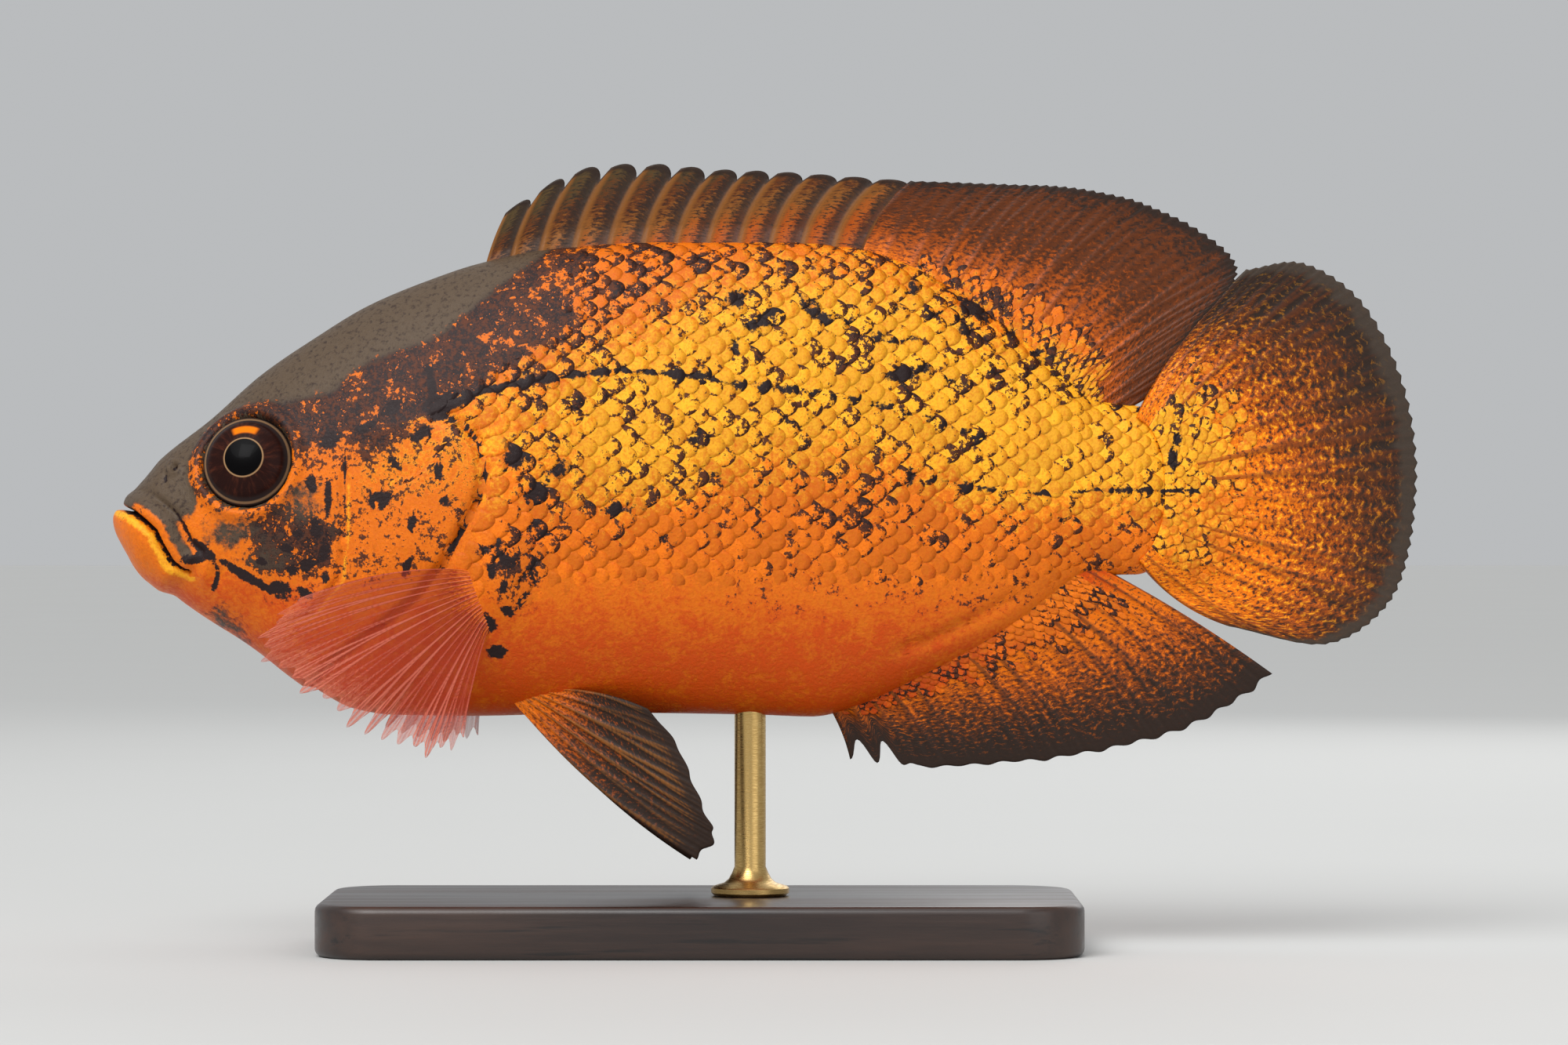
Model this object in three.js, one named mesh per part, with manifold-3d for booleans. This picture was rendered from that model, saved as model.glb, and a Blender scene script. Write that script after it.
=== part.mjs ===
// A life-size oscar, Astronotus ocellatus, hovering level with its pectoral fins swept forward,
// held on a plain museum stand. Millimetres, +Z up, snout towards -X, the fish's left side at -Y.
import * as THREE from "three";
import { mergeVertices } from "three/addons/utils/BufferGeometryUtils.js";
import Module from "manifold-3d";

const wasm = await Module();
wasm.setup();

// Driving sizes. The fish's own frame has x from the lower lip to the end of the tail fin, and
// z from the level of the lower lateral line.
const TOTAL_LENGTH = 200;
const GAP = 0.3;
const BASE_CLEARANCE = 4.5;
const LOWEST_FIN_TIP = -57.8;
const BASE_SIZE = { length: 116, width: 54, thick: 8, corner: 9, bevel: 1 };
const BASE_CENTRE_X = 90;
const ROD = { x: 97.5, radius: 2.4, foot: 6, footHeight: 2.4, sides: 24 };
const BASE_TOP = LOWEST_FIN_TIP - BASE_CLEARANCE;
const AXIS_HEIGHT = BASE_SIZE.thick - BASE_TOP;

// The trunk from the side and from above: [x, height] along the back and the belly, and
// [x, half width].
const BACK = [
  [1.2, 0.2], [4.3, 1.7], [7.1, 4.8], [14.7, 10.8], [22.5, 17.7], [30.5, 23.2], [38.9, 28.3],
  [47.9, 32.1], [56, 34.8], [66.6, 37], [84, 38.1], [103, 38.1], [113, 37.4], [121, 35.2],
  [129.2, 31.2], [137.6, 25.4], [145, 18.9], [151, 13.8], [157, 12.9], [163.6, 12.9],
];
const BELLY = [
  [1.2, -10.3], [2.9, -11.9], [6.4, -14], [11, -17.6], [16.1, -21], [23.5, -25.3], [32, -31.2],
  [36.5, -33.5], [42.5, -34.5], [55, -34.7], [75, -34.2], [98, -34.5], [107, -34.8],
  [114.8, -32.9], [120.8, -30.4], [132.8, -24.4], [138.8, -20.6], [144.9, -16], [149.5, -13.2],
  [157, -13], [163.6, -13],
];
const HALF_WIDTH = [
  [1.2, 5.2], [4, 6.6], [8, 8.2], [16, 10.6], [24, 12.4], [34, 14.3], [46, 15.6], [60, 15.8],
  [78, 14.8], [98, 12.6], [114, 10.2], [130, 7.7], [145, 5.5], [157, 3.9], [163.6, 2.6],
];
const SNOUT_X = 1.2;
const SNOUT_Z = -4.4;
const SNOUT_ROUND = 4.2;
const STALK_END_X = 163.6;
const STALK_ROUND = 7;
const BACK_WEDGE = 1.12;
const BELLY_ROUND = 0.94;
const BODY_RINGS = 40;
const BODY_SIDES = 30;

// The edges that part the body: the gill opening, the mouth and jaw, and the tail stalk.
const HEAD_EDGE = [
  [46.5, 60], [47.5, 34], [48.4, 18], [49.8, 10.9], [53.7, 9.6], [56.3, 6.5], [56.9, 2.2],
  [55.9, -1.5], [53.7, -5.5], [50.9, -10.9], [47, -15.9], [41, -20.8], [34, -25.7],
  [28.5, -31], [26, -44],
];
const STALK_EDGE = [[149.5, 40], [148.5, 8], [147.5, 0], [148.5, -8], [149.5, -40]];
const MOUTH_LINE = [
  [-6, -2.5], [1.4, -2.9], [3.8, -4.1], [6.9, -7.3], [9.9, -10.9], [12.6, -12.7],
];
const JAW_BACK = [[16.5, -14.2], [20.5, -17], [23.4, -21.5], [25, -36]];
const COVER_OUTLINE = [
  [38.2, 9.6], [44.2, 12], [49.4, 10.2], [53, 9.1], [55.7, 6.2], [56.2, 2.2], [55.2, -1.4],
  [53, -5.4], [50.2, -10.6], [46.3, -15.4], [41.4, -19.4], [38.3, -17.2], [36.6, -12],
  [36, -4], [36.4, 3.6],
];
const COVER_RAISED = 0.7;
const COVER_DEPTH = 2.2;

const LIP = { radius: 1.45, sides: 7, steps: 10, above: 1.7, below: 1.6, cornerX: 12.4 };
const EYE = { x: 21.4, z: 4, radius: 7.1, depth: 3.9, sunk: 1.7, tiltUp: 14, tiltAhead: 9 };
const ORBIT = { radius: 8.7, depth: 3.4, sunk: 1.9 };
const NOSTRIL = { x: 9.8, z: 4, radius: 0.55, rim: 0.95, rimThick: 0.34, depth: 1.3 };

// Fin sizes: half thicknesses of a spine or ray at its root and tip, and of the membrane.
const MEMBRANE = { root: 0.34, tip: 0.25, edge: 0.16 };
const SPINE_HALF = { root: 0.85, tip: 0.34 };
const RAY_HALF = { root: 0.62, tip: 0.32 };

const skinTone = (hex) => new THREE.MeshStandardMaterial({ color: hex, roughness: 0.5 });
const TONES = {
  head: skinTone(0x6b5a48),
  jaw: skinTone(0xd0661f),
  cover: skinTone(0xe98a22),
  trunk: skinTone(0xf09a24),
  stalk: skinTone(0xf2a32c),
  eye: new THREE.MeshStandardMaterial({ color: 0x1d1514, roughness: 0.12 }),
  darkFin: skinTone(0x7a4526),
  tailFin: skinTone(0xa8551f),
  clearFin: skinTone(0xc9655a),
  stand: new THREE.MeshStandardMaterial({ color: 0x26272a, roughness: 0.45 }),
  rod: new THREE.MeshStandardMaterial({ color: 0xb08d57, roughness: 0.3, metalness: 0.9 }),
};

// A smooth function through [x, value] pairs that never overshoots them.
function profile(pairs) {
  const rise = pairs.slice(1).map((p, i) => (p[1] - pairs[i][1]) / (p[0] - pairs[i][0]));
  const slope = pairs.map((_, i) => {
    const before = rise[Math.max(i - 1, 0)];
    const after = rise[Math.min(i, rise.length - 1)];
    return before * after <= 0 ? 0 : (2 * before * after) / (before + after);
  });
  return (x) => {
    let i = pairs.findIndex((p) => p[0] > x) - 1;
    if (i === -2) i = pairs.length - 2;
    i = Math.max(i, 0);
    const step = pairs[i + 1][0] - pairs[i][0];
    const t = THREE.MathUtils.clamp((x - pairs[i][0]) / step, 0, 1);
    const a = pairs[i][1] * (1 + 2 * t) + slope[i] * step * t;
    const b = pairs[i + 1][1] * (3 - 2 * t) - slope[i + 1] * step * (1 - t);
    return a * (1 - t) ** 2 + b * t ** 2;
  };
}

const backAt = profile(BACK);
const bellyAt = profile(BELLY);
const halfWidthAt = profile(HALF_WIDTH);

// How far the section at x has opened: from 0 at the snout to 1, and back to 0 at the stalk's end.
function opening(x) {
  const front = THREE.MathUtils.clamp(1 - (x - SNOUT_X) / SNOUT_ROUND, 0, 1);
  const rear = THREE.MathUtils.clamp(1 - (STALK_END_X - x) / STALK_ROUND, 0, 1);
  return Math.sqrt((1 - front ** 2) * (1 - rear ** 2));
}

// The body's section at x: its middle height, half height and half width.
function sectionAt(x) {
  const open = opening(x);
  const rearShare = x > STALK_END_X - STALK_ROUND ? 1 : 0;
  const centre = rearShare ? (backAt(x) + bellyAt(x)) / 2 : SNOUT_Z;
  const top = centre + (backAt(x) - centre) * open;
  const bottom = centre + (bellyAt(x) - centre) * open;
  return { middle: (top + bottom) / 2, half: (top - bottom) / 2, width: halfWidthAt(x) * open };
}

// The body's half width at a point of its side view, and 0 outside its outline.
function widthAt(x, z) {
  const { middle, half, width } = sectionAt(x);
  const level = (z - middle) / half;
  const power = level > 0 ? BACK_WEDGE : BELLY_ROUND;
  return width * Math.max(0, 1 - level ** 2) ** (power / 2);
}

function solid(geometry) {
  const bare = geometry.clone();
  bare.deleteAttribute("normal");
  bare.deleteAttribute("uv");
  const merged = mergeVertices(bare, 1e-4);
  const vertProperties = new Float32Array(merged.attributes.position.array);
  const triVerts = new Uint32Array(merged.index.array);
  return new wasm.Manifold(new wasm.Mesh({ numProp: 3, vertProperties, triVerts }));
}

function largest(shape) {
  return shape.decompose().reduce((a, b) => (b.volume() > a.volume() ? b : a));
}

function geometryOf(shape) {
  const { vertProperties, triVerts } = shape.getMesh();
  const geometry = new THREE.BufferGeometry();
  geometry.setAttribute("position", new THREE.BufferAttribute(vertProperties, 3));
  geometry.setIndex(new THREE.BufferAttribute(triVerts, 1));
  geometry.computeVertexNormals();
  return geometry;
}

// The whole body as one closed skin, grown outwards by swell.
function bodySolid(swell = 0) {
  const geometry = new THREE.SphereGeometry(1, BODY_SIDES, BODY_RINGS);
  const { position, uv } = geometry.attributes;
  for (let i = 0; i < position.count; i++) {
    const along = (1 - Math.cos(Math.PI * (1 - uv.getY(i)))) / 2;
    const around = uv.getX(i) * 2 * Math.PI;
    const x = THREE.MathUtils.lerp(SNOUT_X, STALK_END_X, along);
    const { middle, half, width } = sectionAt(x);
    const grown = swell * Math.min(1, half / Math.abs(swell || 1));
    const power = Math.cos(around) > 0 ? BACK_WEDGE : BELLY_ROUND;
    const side = Math.sin(around);
    position.setXYZ(
      i,
      x + swell * (2 * along - 1),
      Math.sign(side) * Math.abs(side) ** power * (width + grown),
      middle + Math.cos(around) * (half + grown),
    );
  }
  return solid(geometry);
}

// An upright prism across the body, from an outline in the side view.
function prism(outline, low = -60, high = 60) {
  const shape = new THREE.Shape(outline.map(([x, z]) => new THREE.Vector2(x, z)));
  const geometry = new THREE.ExtrudeGeometry(shape, { depth: high - low, bevelEnabled: false });
  return solid(geometry.rotateX(Math.PI / 2).translate(0, high, 0));
}

function smoothLine(points, steps, closed = false) {
  const flat = points.map(([x, z]) => new THREE.Vector3(x, z, 0));
  const curve = new THREE.CatmullRomCurve3(flat, closed, "centripetal");
  const sampled = curve.getPoints(steps).map((p) => [p.x, p.y]);
  return closed ? sampled.slice(0, -1) : sampled;
}

// The line moved sideways by shift, to its left as it runs.
function beside(line, shift) {
  return line.map(([x, z], i) => {
    const [ax, az] = line[Math.max(i - 1, 0)];
    const [bx, bz] = line[Math.min(i + 1, line.length - 1)];
    const length = Math.hypot(bx - ax, bz - az);
    return [x - (shift * (bz - az)) / length, z + (shift * (bx - ax)) / length];
  });
}

// All that lies ahead of a line that runs from above the fish to below it.
function ahead(line) {
  return prism([...line, [-30, line.at(-1)[1]], [-30, line[0][1]]]);
}

// The region of the lower jaw: below the mouth line and ahead of the jaw joint.
function jawRegion(shift) {
  const line = beside(smoothLine([...MOUTH_LINE, ...JAW_BACK], 24), shift);
  return prism([...line, [-12, line.at(-1)[1]], [-12, line[0][1]]]);
}

// A lip: a round bar that follows the mouth line round the snout, offset above or below it.
function lip(offset) {
  const line = profile(beside(smoothLine(MOUTH_LINE, 30), offset));
  const foremost = SNOUT_X + 0.57;
  const side = [];
  for (let i = 0; i <= LIP.steps; i++) {
    const share = (i / LIP.steps) ** 2;
    const x = THREE.MathUtils.lerp(foremost, LIP.cornerX, share);
    side.push(new THREE.Vector3(x, widthAt(x, line(x)) - 0.35, line(x)));
  }
  const far = side.filter((p) => p.y > 0.8);
  const near = far.map((p) => new THREE.Vector3(p.x, -p.y, p.z)).reverse();
  const front = new THREE.Vector3(far[0].x - 0.35, 0, far[0].z);
  const section = new THREE.EllipseCurve(0, 0, LIP.radius, LIP.radius).getPoints(LIP.sides);
  const path = new THREE.CatmullRomCurve3([...near, front, ...far]);
  const shape = new THREE.Shape(section.slice(0, -1));
  const options = { steps: 2 * LIP.steps, bevelEnabled: false, extrudePath: path };
  return solid(new THREE.ExtrudeGeometry(shape, options));
}

// A flattened ball set in the side of the head, side -1 for the fish's left and 1 for its right.
function lens({ radius, depth, sunk }, side, grown = 0) {
  const ball = new THREE.SphereGeometry(1, 20, 11).rotateX(Math.PI / 2);
  ball.scale(radius + grown, depth + grown, radius + grown);
  ball.rotateX(side * THREE.MathUtils.degToRad(EYE.tiltUp));
  ball.rotateZ(side * THREE.MathUtils.degToRad(EYE.tiltAhead));
  const y = side * (widthAt(EYE.x, EYE.z) - sunk);
  return solid(ball.translate(EYE.x, y, EYE.z));
}

function nostril(side) {
  const y = side * widthAt(NOSTRIL.x, NOSTRIL.z);
  const slope = Math.atan2(3.2, 2.4);
  const stand = (geometry) =>
    solid(geometry.rotateX(side * (Math.PI / 2 - slope / 2)).translate(NOSTRIL.x, y, NOSTRIL.z));
  const rim = new THREE.TorusGeometry(NOSTRIL.rim, NOSTRIL.rimThick, 5, 10);
  const pit = new THREE.CylinderGeometry(NOSTRIL.radius, NOSTRIL.radius, 2 * NOSTRIL.depth, 8);
  return { rim: stand(rim), pit: stand(pit.rotateX(Math.PI / 2)) };
}

// A guide ray of a fin on the midline: its root, its tip, and how far it bows, as a share of
// its length, towards its upper or leading side.
function guide(rootX, rootZ, tipX, tipZ, bow = 0) {
  return {
    root: new THREE.Vector3(rootX, 0, rootZ),
    tip: new THREE.Vector3(tipX, 0, tipZ),
    bow: new THREE.Vector3(-bow * (tipZ - rootZ), 0, bow * (tipX - rootX)),
  };
}

// A fin spread over its guide rays. at(u, v) is a point of its middle surface, with u across
// the rays and v along them.
function finSurface(guides) {
  const through = (key) =>
    new THREE.CatmullRomCurve3(guides.map((g) => g[key]), false, "catmullrom", 0.5);
  const [root, tip, bow] = ["root", "tip", "bow"].map(through);
  return (u, v) => {
    const a = root.getPoint(u);
    const b = tip.getPoint(u);
    const middle = a.clone().lerp(b, 0.5).addScaledVector(bow.getPoint(u), 2);
    return new THREE.QuadraticBezierCurve3(a, middle, b).getPoint(v);
  };
}

// The columns of a fin between one ray and the next: place across the gap, reach towards the
// tip, and whether it is the ray itself.
const soft = (notch) => [
  { across: 0, reach: 1, ray: true },
  { across: 0.5, reach: 1 - notch, ray: false },
];
const spiny = (notch) => [
  { across: 0, reach: 1, ray: true },
  { across: 0.34, reach: 0.985, ray: false },
  { across: 0.78, reach: 1 - notch, ray: false },
];

// A fin as one closed plate whose rays stand out of its membrane as ridges on both faces.
// Both faces are split into triangles alike.
function fin({ guides, rays, columns, halves, rows, across = new THREE.Vector3(0, 1, 0) }) {
  const at = finSurface(guides);
  const gaps = Array.from({ length: rays - 1 }, (_, k) => k);
  const lines = gaps.flatMap((k) =>
    columns(k / (rays - 1)).map((c) => ({ ...c, u: (k + c.across) / (rays - 1) })),
  );
  lines.push({ reach: 1, ray: true, u: 1 });
  const points = [];
  const width = lines.length;
  for (const side of [-1, 1])
    for (let j = 0; j <= rows; j++)
      for (const line of lines) {
        const v = (j / rows) * line.reach;
        const size = line.ray ? halves : MEMBRANE;
        const half = j === rows ? MEMBRANE.edge : THREE.MathUtils.lerp(size.root, size.tip, v);
        points.push(at(line.u, v).addScaledVector(across, side * half));
      }
  const index = (i, j, side) => (side * (rows + 1) + j) * width + i;
  const faces = [];
  const quad = (a, b, c, d) => faces.push(a, b, c, a, c, d);
  for (let j = 0; j < rows; j++)
    for (let i = 0; i + 1 < width; i++)
      for (const side of [0, 1]) {
        const [a, b, c, d] = [
          index(i, j, side), index(i + 1, j, side), index(i + 1, j + 1, side), index(i, j + 1, side),
        ];
        if (side) faces.push(a, c, b, a, d, c);
        else quad(a, b, c, d);
      }
  for (let i = 0; i + 1 < width; i++) {
    quad(index(i + 1, 0, 0), index(i, 0, 0), index(i, 0, 1), index(i + 1, 0, 1));
    quad(index(i, rows, 0), index(i + 1, rows, 0), index(i + 1, rows, 1), index(i, rows, 1));
  }
  for (let j = 0; j < rows; j++) {
    quad(index(0, j, 0), index(0, j + 1, 0), index(0, j + 1, 1), index(0, j, 1));
    const last = width - 1;
    quad(index(last, j + 1, 0), index(last, j, 0), index(last, j, 1), index(last, j + 1, 1));
  }
  const geometry = new THREE.BufferGeometry().setFromPoints(points);
  geometry.setIndex(faces);
  const made = solid(geometry);
  if (made.volume() > 0) return made;
  for (let i = 0; i < faces.length; i += 3) [faces[i], faces[i + 1]] = [faces[i + 1], faces[i]];
  geometry.setIndex(faces);
  return solid(geometry);
}

// The median fins, from their guide rays.
const dorsalSpines = () =>
  fin({
    rays: 13,
    rows: 5,
    columns: (u) => spiny(0.24 - 0.14 * u),
    halves: SPINE_HALF,
    guides: [
      guide(56.3, 31.8, 60.2, 43, 0.04), guide(65, 33.6, 71, 49.1, 0.06),
      guide(75.6, 34.6, 82, 50.1, 0.07), guide(85.8, 35, 92.3, 49.3, 0.08),
      guide(95.6, 35, 102, 48.9, 0.09), guide(105.2, 34.8, 112.3, 48.2, 0.1),
      guide(114.5, 34, 123.1, 47.4, 0.1),
    ],
  });

const dorsalRays = () =>
  fin({
    rays: 18,
    rows: 6,
    columns: (u) => soft(0.05 - 0.03 * u),
    halves: RAY_HALF,
    guides: [
      guide(115.2, 33.4, 123.9, 47.5, 0.1), guide(124.4, 30.4, 137.6, 47.1, 0.07),
      guide(132.6, 26.2, 150.4, 46.1, 0.06), guide(140, 20.6, 162.6, 42.3, 0.05),
      guide(144.6, 15.8, 172.2, 34.6, 0.04), guide(147, 11.5, 165.2, 25.2, 0.02),
      guide(149, 8.6, 158.6, 14.9, 0),
    ],
  });

const analFin = () =>
  fin({
    rays: 17,
    rows: 6,
    columns: (u) => (u < 0.12 ? spiny(0.34) : soft(0.07 - 0.04 * u)),
    halves: RAY_HALF,
    guides: [
      guide(108.6, -31.8, 112.9, -41.6, 0.05), guide(116.4, -29.2, 124, -42.7, 0.06),
      guide(124.2, -26, 135.6, -42.3, 0.06), guide(131.8, -22.2, 147.2, -41.2, 0.05),
      guide(139, -17.4, 158.6, -38.9, 0.05), guide(144.8, -13.2, 169.4, -34.9, 0.05),
      guide(149.4, -10.8, 178.2, -28.6, 0.02),
    ],
  });

const tailFin = () =>
  fin({
    rays: 17,
    rows: 6,
    columns: () => soft(0.02),
    halves: RAY_HALF,
    guides: [
      guide(157, 10.8, 174.4, 33.6, 0.045), guide(158.6, 9.6, 182.6, 35, 0.04),
      guide(160, 7.2, 191.4, 29.2, 0.02), guide(160.8, 4.3, 197.6, 17.6, 0.01),
      guide(161, 1.1, 200, 4.2, 0), guide(161, -2.2, 199.2, -8.4, 0),
      guide(160.4, -5.4, 195.2, -18.2, -0.01), guide(159, -8.6, 186, -23.8, -0.03),
      guide(157, -11, 171.2, -21, -0.08),
    ],
  });

// A paired fin's guide ray, for the fish's left side at side -1: its root lies inside the flank
// at a point of the side view, and its tip stands out from the flank.
function flankGuide(side, sink, [rootX, rootZ], [tipX, tipY, tipZ], [bowX, bowY, bowZ]) {
  return {
    root: new THREE.Vector3(rootX, side * (widthAt(rootX, rootZ) - sink), rootZ),
    tip: new THREE.Vector3(tipX, side * tipY, tipZ),
    bow: new THREE.Vector3(bowX, side * bowY, bowZ),
  };
}

// The pectoral fin, swept forward and out over the gill cover, its last rays hanging down.
function pectoralFin(side) {
  const ray = (...places) => flankGuide(side, 1.4, ...places);
  return fin({
    rays: 14,
    rows: 6,
    columns: (u) => soft(u > 0.55 && u < 0.72 ? 0.16 : 0.07),
    halves: { root: 0.58, tip: 0.3 },
    across: new THREE.Vector3(0.42, side * 0.86, -0.3).normalize(),
    guides: [
      ray([55.4, -12.2], [28.4, 29.4, -17.2], [0.4, 1.6, 1.9]),
      ray([55.9, -13.7], [24, 31, -22.6], [0.3, 1.8, 1.4]),
      ray([56.4, -15], [26.4, 30.8, -28.2], [0, 1.8, 0.8]),
      ray([56.9, -16.3], [33.4, 29.2, -33.6], [-0.2, 1.6, 0.5]),
      ray([57.3, -17.5], [41, 26.8, -38.6], [-0.4, 1.4, 0.3]),
      ray([57.7, -18.8], [48.6, 24, -40.6], [-0.5, 1.2, 0.2]),
      ray([58.1, -20.2], [54.6, 20.6, -38.8], [-0.5, 1, 0.2]),
    ],
  });
}

// The pelvic fin, trailing down and back from the chest. The far one hangs a little lower.
function pelvicFin(side) {
  const ray = (...places) => flankGuide(side, 1.6, ...places);
  const made = fin({
    rays: 7,
    rows: 7,
    columns: () => soft(0.03),
    halves: { root: 0.75, tip: 0.32 },
    across: new THREE.Vector3(0.1, side * 0.93, -0.35).normalize(),
    guides: [
      ray([61.4, -32.3], [89.6, 12.2, -56.2], [-0.8, 0.6, -1.5]),
      ray([62.5, -31.9], [92.6, 12.4, -53.4], [-0.5, 0.6, -1]),
      ray([63.6, -31.5], [91.4, 12, -49.6], [-0.2, 0.6, -0.4]),
      ray([64.7, -31.1], [89.2, 11.4, -44.2], [0, 0.6, 0]),
      ray([65.8, -30.7], [86.4, 11, -38.4], [0.2, 0.6, 0.5]),
      ray([66.9, -30.3], [82, 11, -33.4], [0.4, 0.6, 0.9]),
    ],
  });
  if (side < 0) return made;
  const turn = new THREE.Matrix4().makeTranslation(61.4, 0, -32.3);
  turn.multiply(new THREE.Matrix4().makeRotationY(THREE.MathUtils.degToRad(3)));
  turn.multiply(new THREE.Matrix4().makeTranslation(-61.4, 0, 32.3));
  return made.transform(turn.toArray());
}

// The stand: a bevelled plate, and one rod with a turned foot whose top fits the belly.
function standBase() {
  const { length, width, thick, corner, bevel } = BASE_SIZE;
  const [a, b] = [length / 2 - bevel, width / 2 - bevel];
  const shape = new THREE.Shape();
  shape.absarc(a - corner, b - corner, corner, 0, Math.PI / 2);
  shape.absarc(corner - a, b - corner, corner, Math.PI / 2, Math.PI);
  shape.absarc(corner - a, corner - b, corner, Math.PI, 1.5 * Math.PI);
  shape.absarc(a - corner, corner - b, corner, 1.5 * Math.PI, 2 * Math.PI);
  const plate = new THREE.ExtrudeGeometry(shape, {
    depth: thick - 2 * bevel,
    bevelThickness: bevel,
    bevelSize: bevel,
    bevelSegments: 1,
    curveSegments: 6,
  });
  return solid(plate.translate(BASE_CENTRE_X, 0, BASE_TOP - thick + bevel));
}

function standRod() {
  const foot = BASE_TOP + GAP;
  const { radius, footHeight } = ROD;
  const outline = [
    [0, foot], [ROD.foot, foot], [ROD.foot, foot + footHeight / 2],
    [radius + 1, foot + footHeight], [radius, foot + footHeight + 1],
    [radius, -28], [0, -28],
  ].map(([r, z]) => new THREE.Vector2(r, z));
  const turned = new THREE.LatheGeometry(outline, ROD.sides).rotateX(Math.PI / 2);
  return solid(turned.translate(ROD.x, 0, 0));
}

const body = bodySolid();
const cleared = bodySolid(GAP);
const headLine = smoothLine(HEAD_EDGE, 40);
const stalkLine = smoothLine(STALK_EDGE, 16);
const coverLine = smoothLine(COVER_OUTLINE, 36, true);

// The raised plate that covers one side's gills.
function gillCover(side, grown = 0) {
  const [low, high] = side < 0 ? [-40, -4] : [4, 40];
  const outline = grown ? beside(coverLine, grown) : coverLine;
  const shell = bodySolid(COVER_RAISED + grown).subtract(bodySolid(-COVER_DEPTH - grown));
  return shell.intersect(prism(outline, low, high));
}

function head() {
  let made = body.add(lip(LIP.above)).intersect(ahead(beside(headLine, 0)));
  for (const side of [-1, 1]) made = made.add(lens(ORBIT, side));
  made = made.subtract(jawRegion(GAP));
  for (const side of [-1, 1]) {
    const { rim, pit } = nostril(side);
    made = made.add(rim).subtract(pit);
    made = made.subtract(lens(EYE, side, GAP)).subtract(gillCover(side, GAP));
  }
  return largest(made);
}

const lowerJaw = () => largest(body.add(lip(-LIP.below)).intersect(jawRegion(0)));
const behindHead = () => body.subtract(ahead(beside(headLine, GAP)));
const trunk = () =>
  largest(
    behindHead()
      .intersect(ahead(stalkLine))
      .subtract(gillCover(-1, GAP))
      .subtract(gillCover(1, GAP)),
  );
const tailStalk = () => largest(behindHead().subtract(ahead(beside(stalkLine, GAP))));
const rooted = (shape) => largest(shape.subtract(cleared));

const model = new THREE.Group();
const fish = new THREE.Group();
fish.position.set(-TOTAL_LENGTH / 2, 0, AXIS_HEIGHT);
model.add(fish);

function place(name, shape, tone) {
  const mesh = new THREE.Mesh(geometryOf(shape), TONES[tone]);
  mesh.name = name;
  fish.add(mesh);
}

place("head", head(), "head");
place("lower_jaw", lowerJaw(), "jaw");
place("trunk", trunk(), "trunk");
place("tail_stalk", tailStalk(), "stalk");
place("dorsal_fin_spiny", rooted(dorsalSpines()), "darkFin");
place("dorsal_fin_soft", rooted(dorsalRays()), "darkFin");
place("anal_fin", rooted(analFin()), "darkFin");
place("tail_fin", rooted(tailFin()), "tailFin");
for (const [side, word] of [[-1, "left"], [1, "right"]]) {
  place(`gill_cover_${word}`, largest(gillCover(side)), "cover");
  place(`eye_${word}`, lens(EYE, side), "eye");
  place(`pectoral_fin_${word}`, rooted(pectoralFin(side)), "clearFin");
  place(`pelvic_fin_${word}`, rooted(pelvicFin(side)), "darkFin");
}
place("stand_rod", rooted(standRod()), "rod");
place("stand_base", standBase(), "stand");

export default model;
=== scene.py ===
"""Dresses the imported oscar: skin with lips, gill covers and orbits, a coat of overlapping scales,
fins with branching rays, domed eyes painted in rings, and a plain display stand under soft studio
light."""

import math

import bmesh
import bpy
import numpy as np
from bpy.props import FloatProperty, FloatVectorProperty, IntProperty, PointerProperty
from mathutils import Matrix, Vector


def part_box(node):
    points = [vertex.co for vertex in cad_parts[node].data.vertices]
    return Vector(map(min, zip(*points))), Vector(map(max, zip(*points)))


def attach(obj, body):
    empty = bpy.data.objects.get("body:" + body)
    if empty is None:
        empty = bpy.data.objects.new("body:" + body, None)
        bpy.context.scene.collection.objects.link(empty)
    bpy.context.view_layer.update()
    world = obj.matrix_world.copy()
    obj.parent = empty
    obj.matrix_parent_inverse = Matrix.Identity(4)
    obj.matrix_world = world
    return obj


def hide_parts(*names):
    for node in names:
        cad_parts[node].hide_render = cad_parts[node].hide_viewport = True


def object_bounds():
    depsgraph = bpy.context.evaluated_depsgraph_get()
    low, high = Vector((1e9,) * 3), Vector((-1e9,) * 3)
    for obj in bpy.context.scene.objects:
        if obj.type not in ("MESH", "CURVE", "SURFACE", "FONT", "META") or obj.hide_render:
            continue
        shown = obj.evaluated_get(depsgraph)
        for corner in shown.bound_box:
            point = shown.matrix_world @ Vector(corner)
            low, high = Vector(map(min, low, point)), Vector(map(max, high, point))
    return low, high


bl_info = {
    "name": "Oscar fish on a stand",
    "version": (1, 0, 0),
    "blender": (4, 5, 0),
    "location": "View3D > Sidebar > Oscar",
    "description": "Builds a life-size oscar fish around its packed solids",
    "category": "Add Mesh",
}

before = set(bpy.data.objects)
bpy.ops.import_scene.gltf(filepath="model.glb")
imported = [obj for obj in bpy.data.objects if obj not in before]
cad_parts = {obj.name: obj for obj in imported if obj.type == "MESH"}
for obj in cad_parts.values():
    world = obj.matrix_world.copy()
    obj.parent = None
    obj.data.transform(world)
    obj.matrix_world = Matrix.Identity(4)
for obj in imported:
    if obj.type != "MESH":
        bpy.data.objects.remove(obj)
CAD_LOW, CAD_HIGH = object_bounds()

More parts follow.
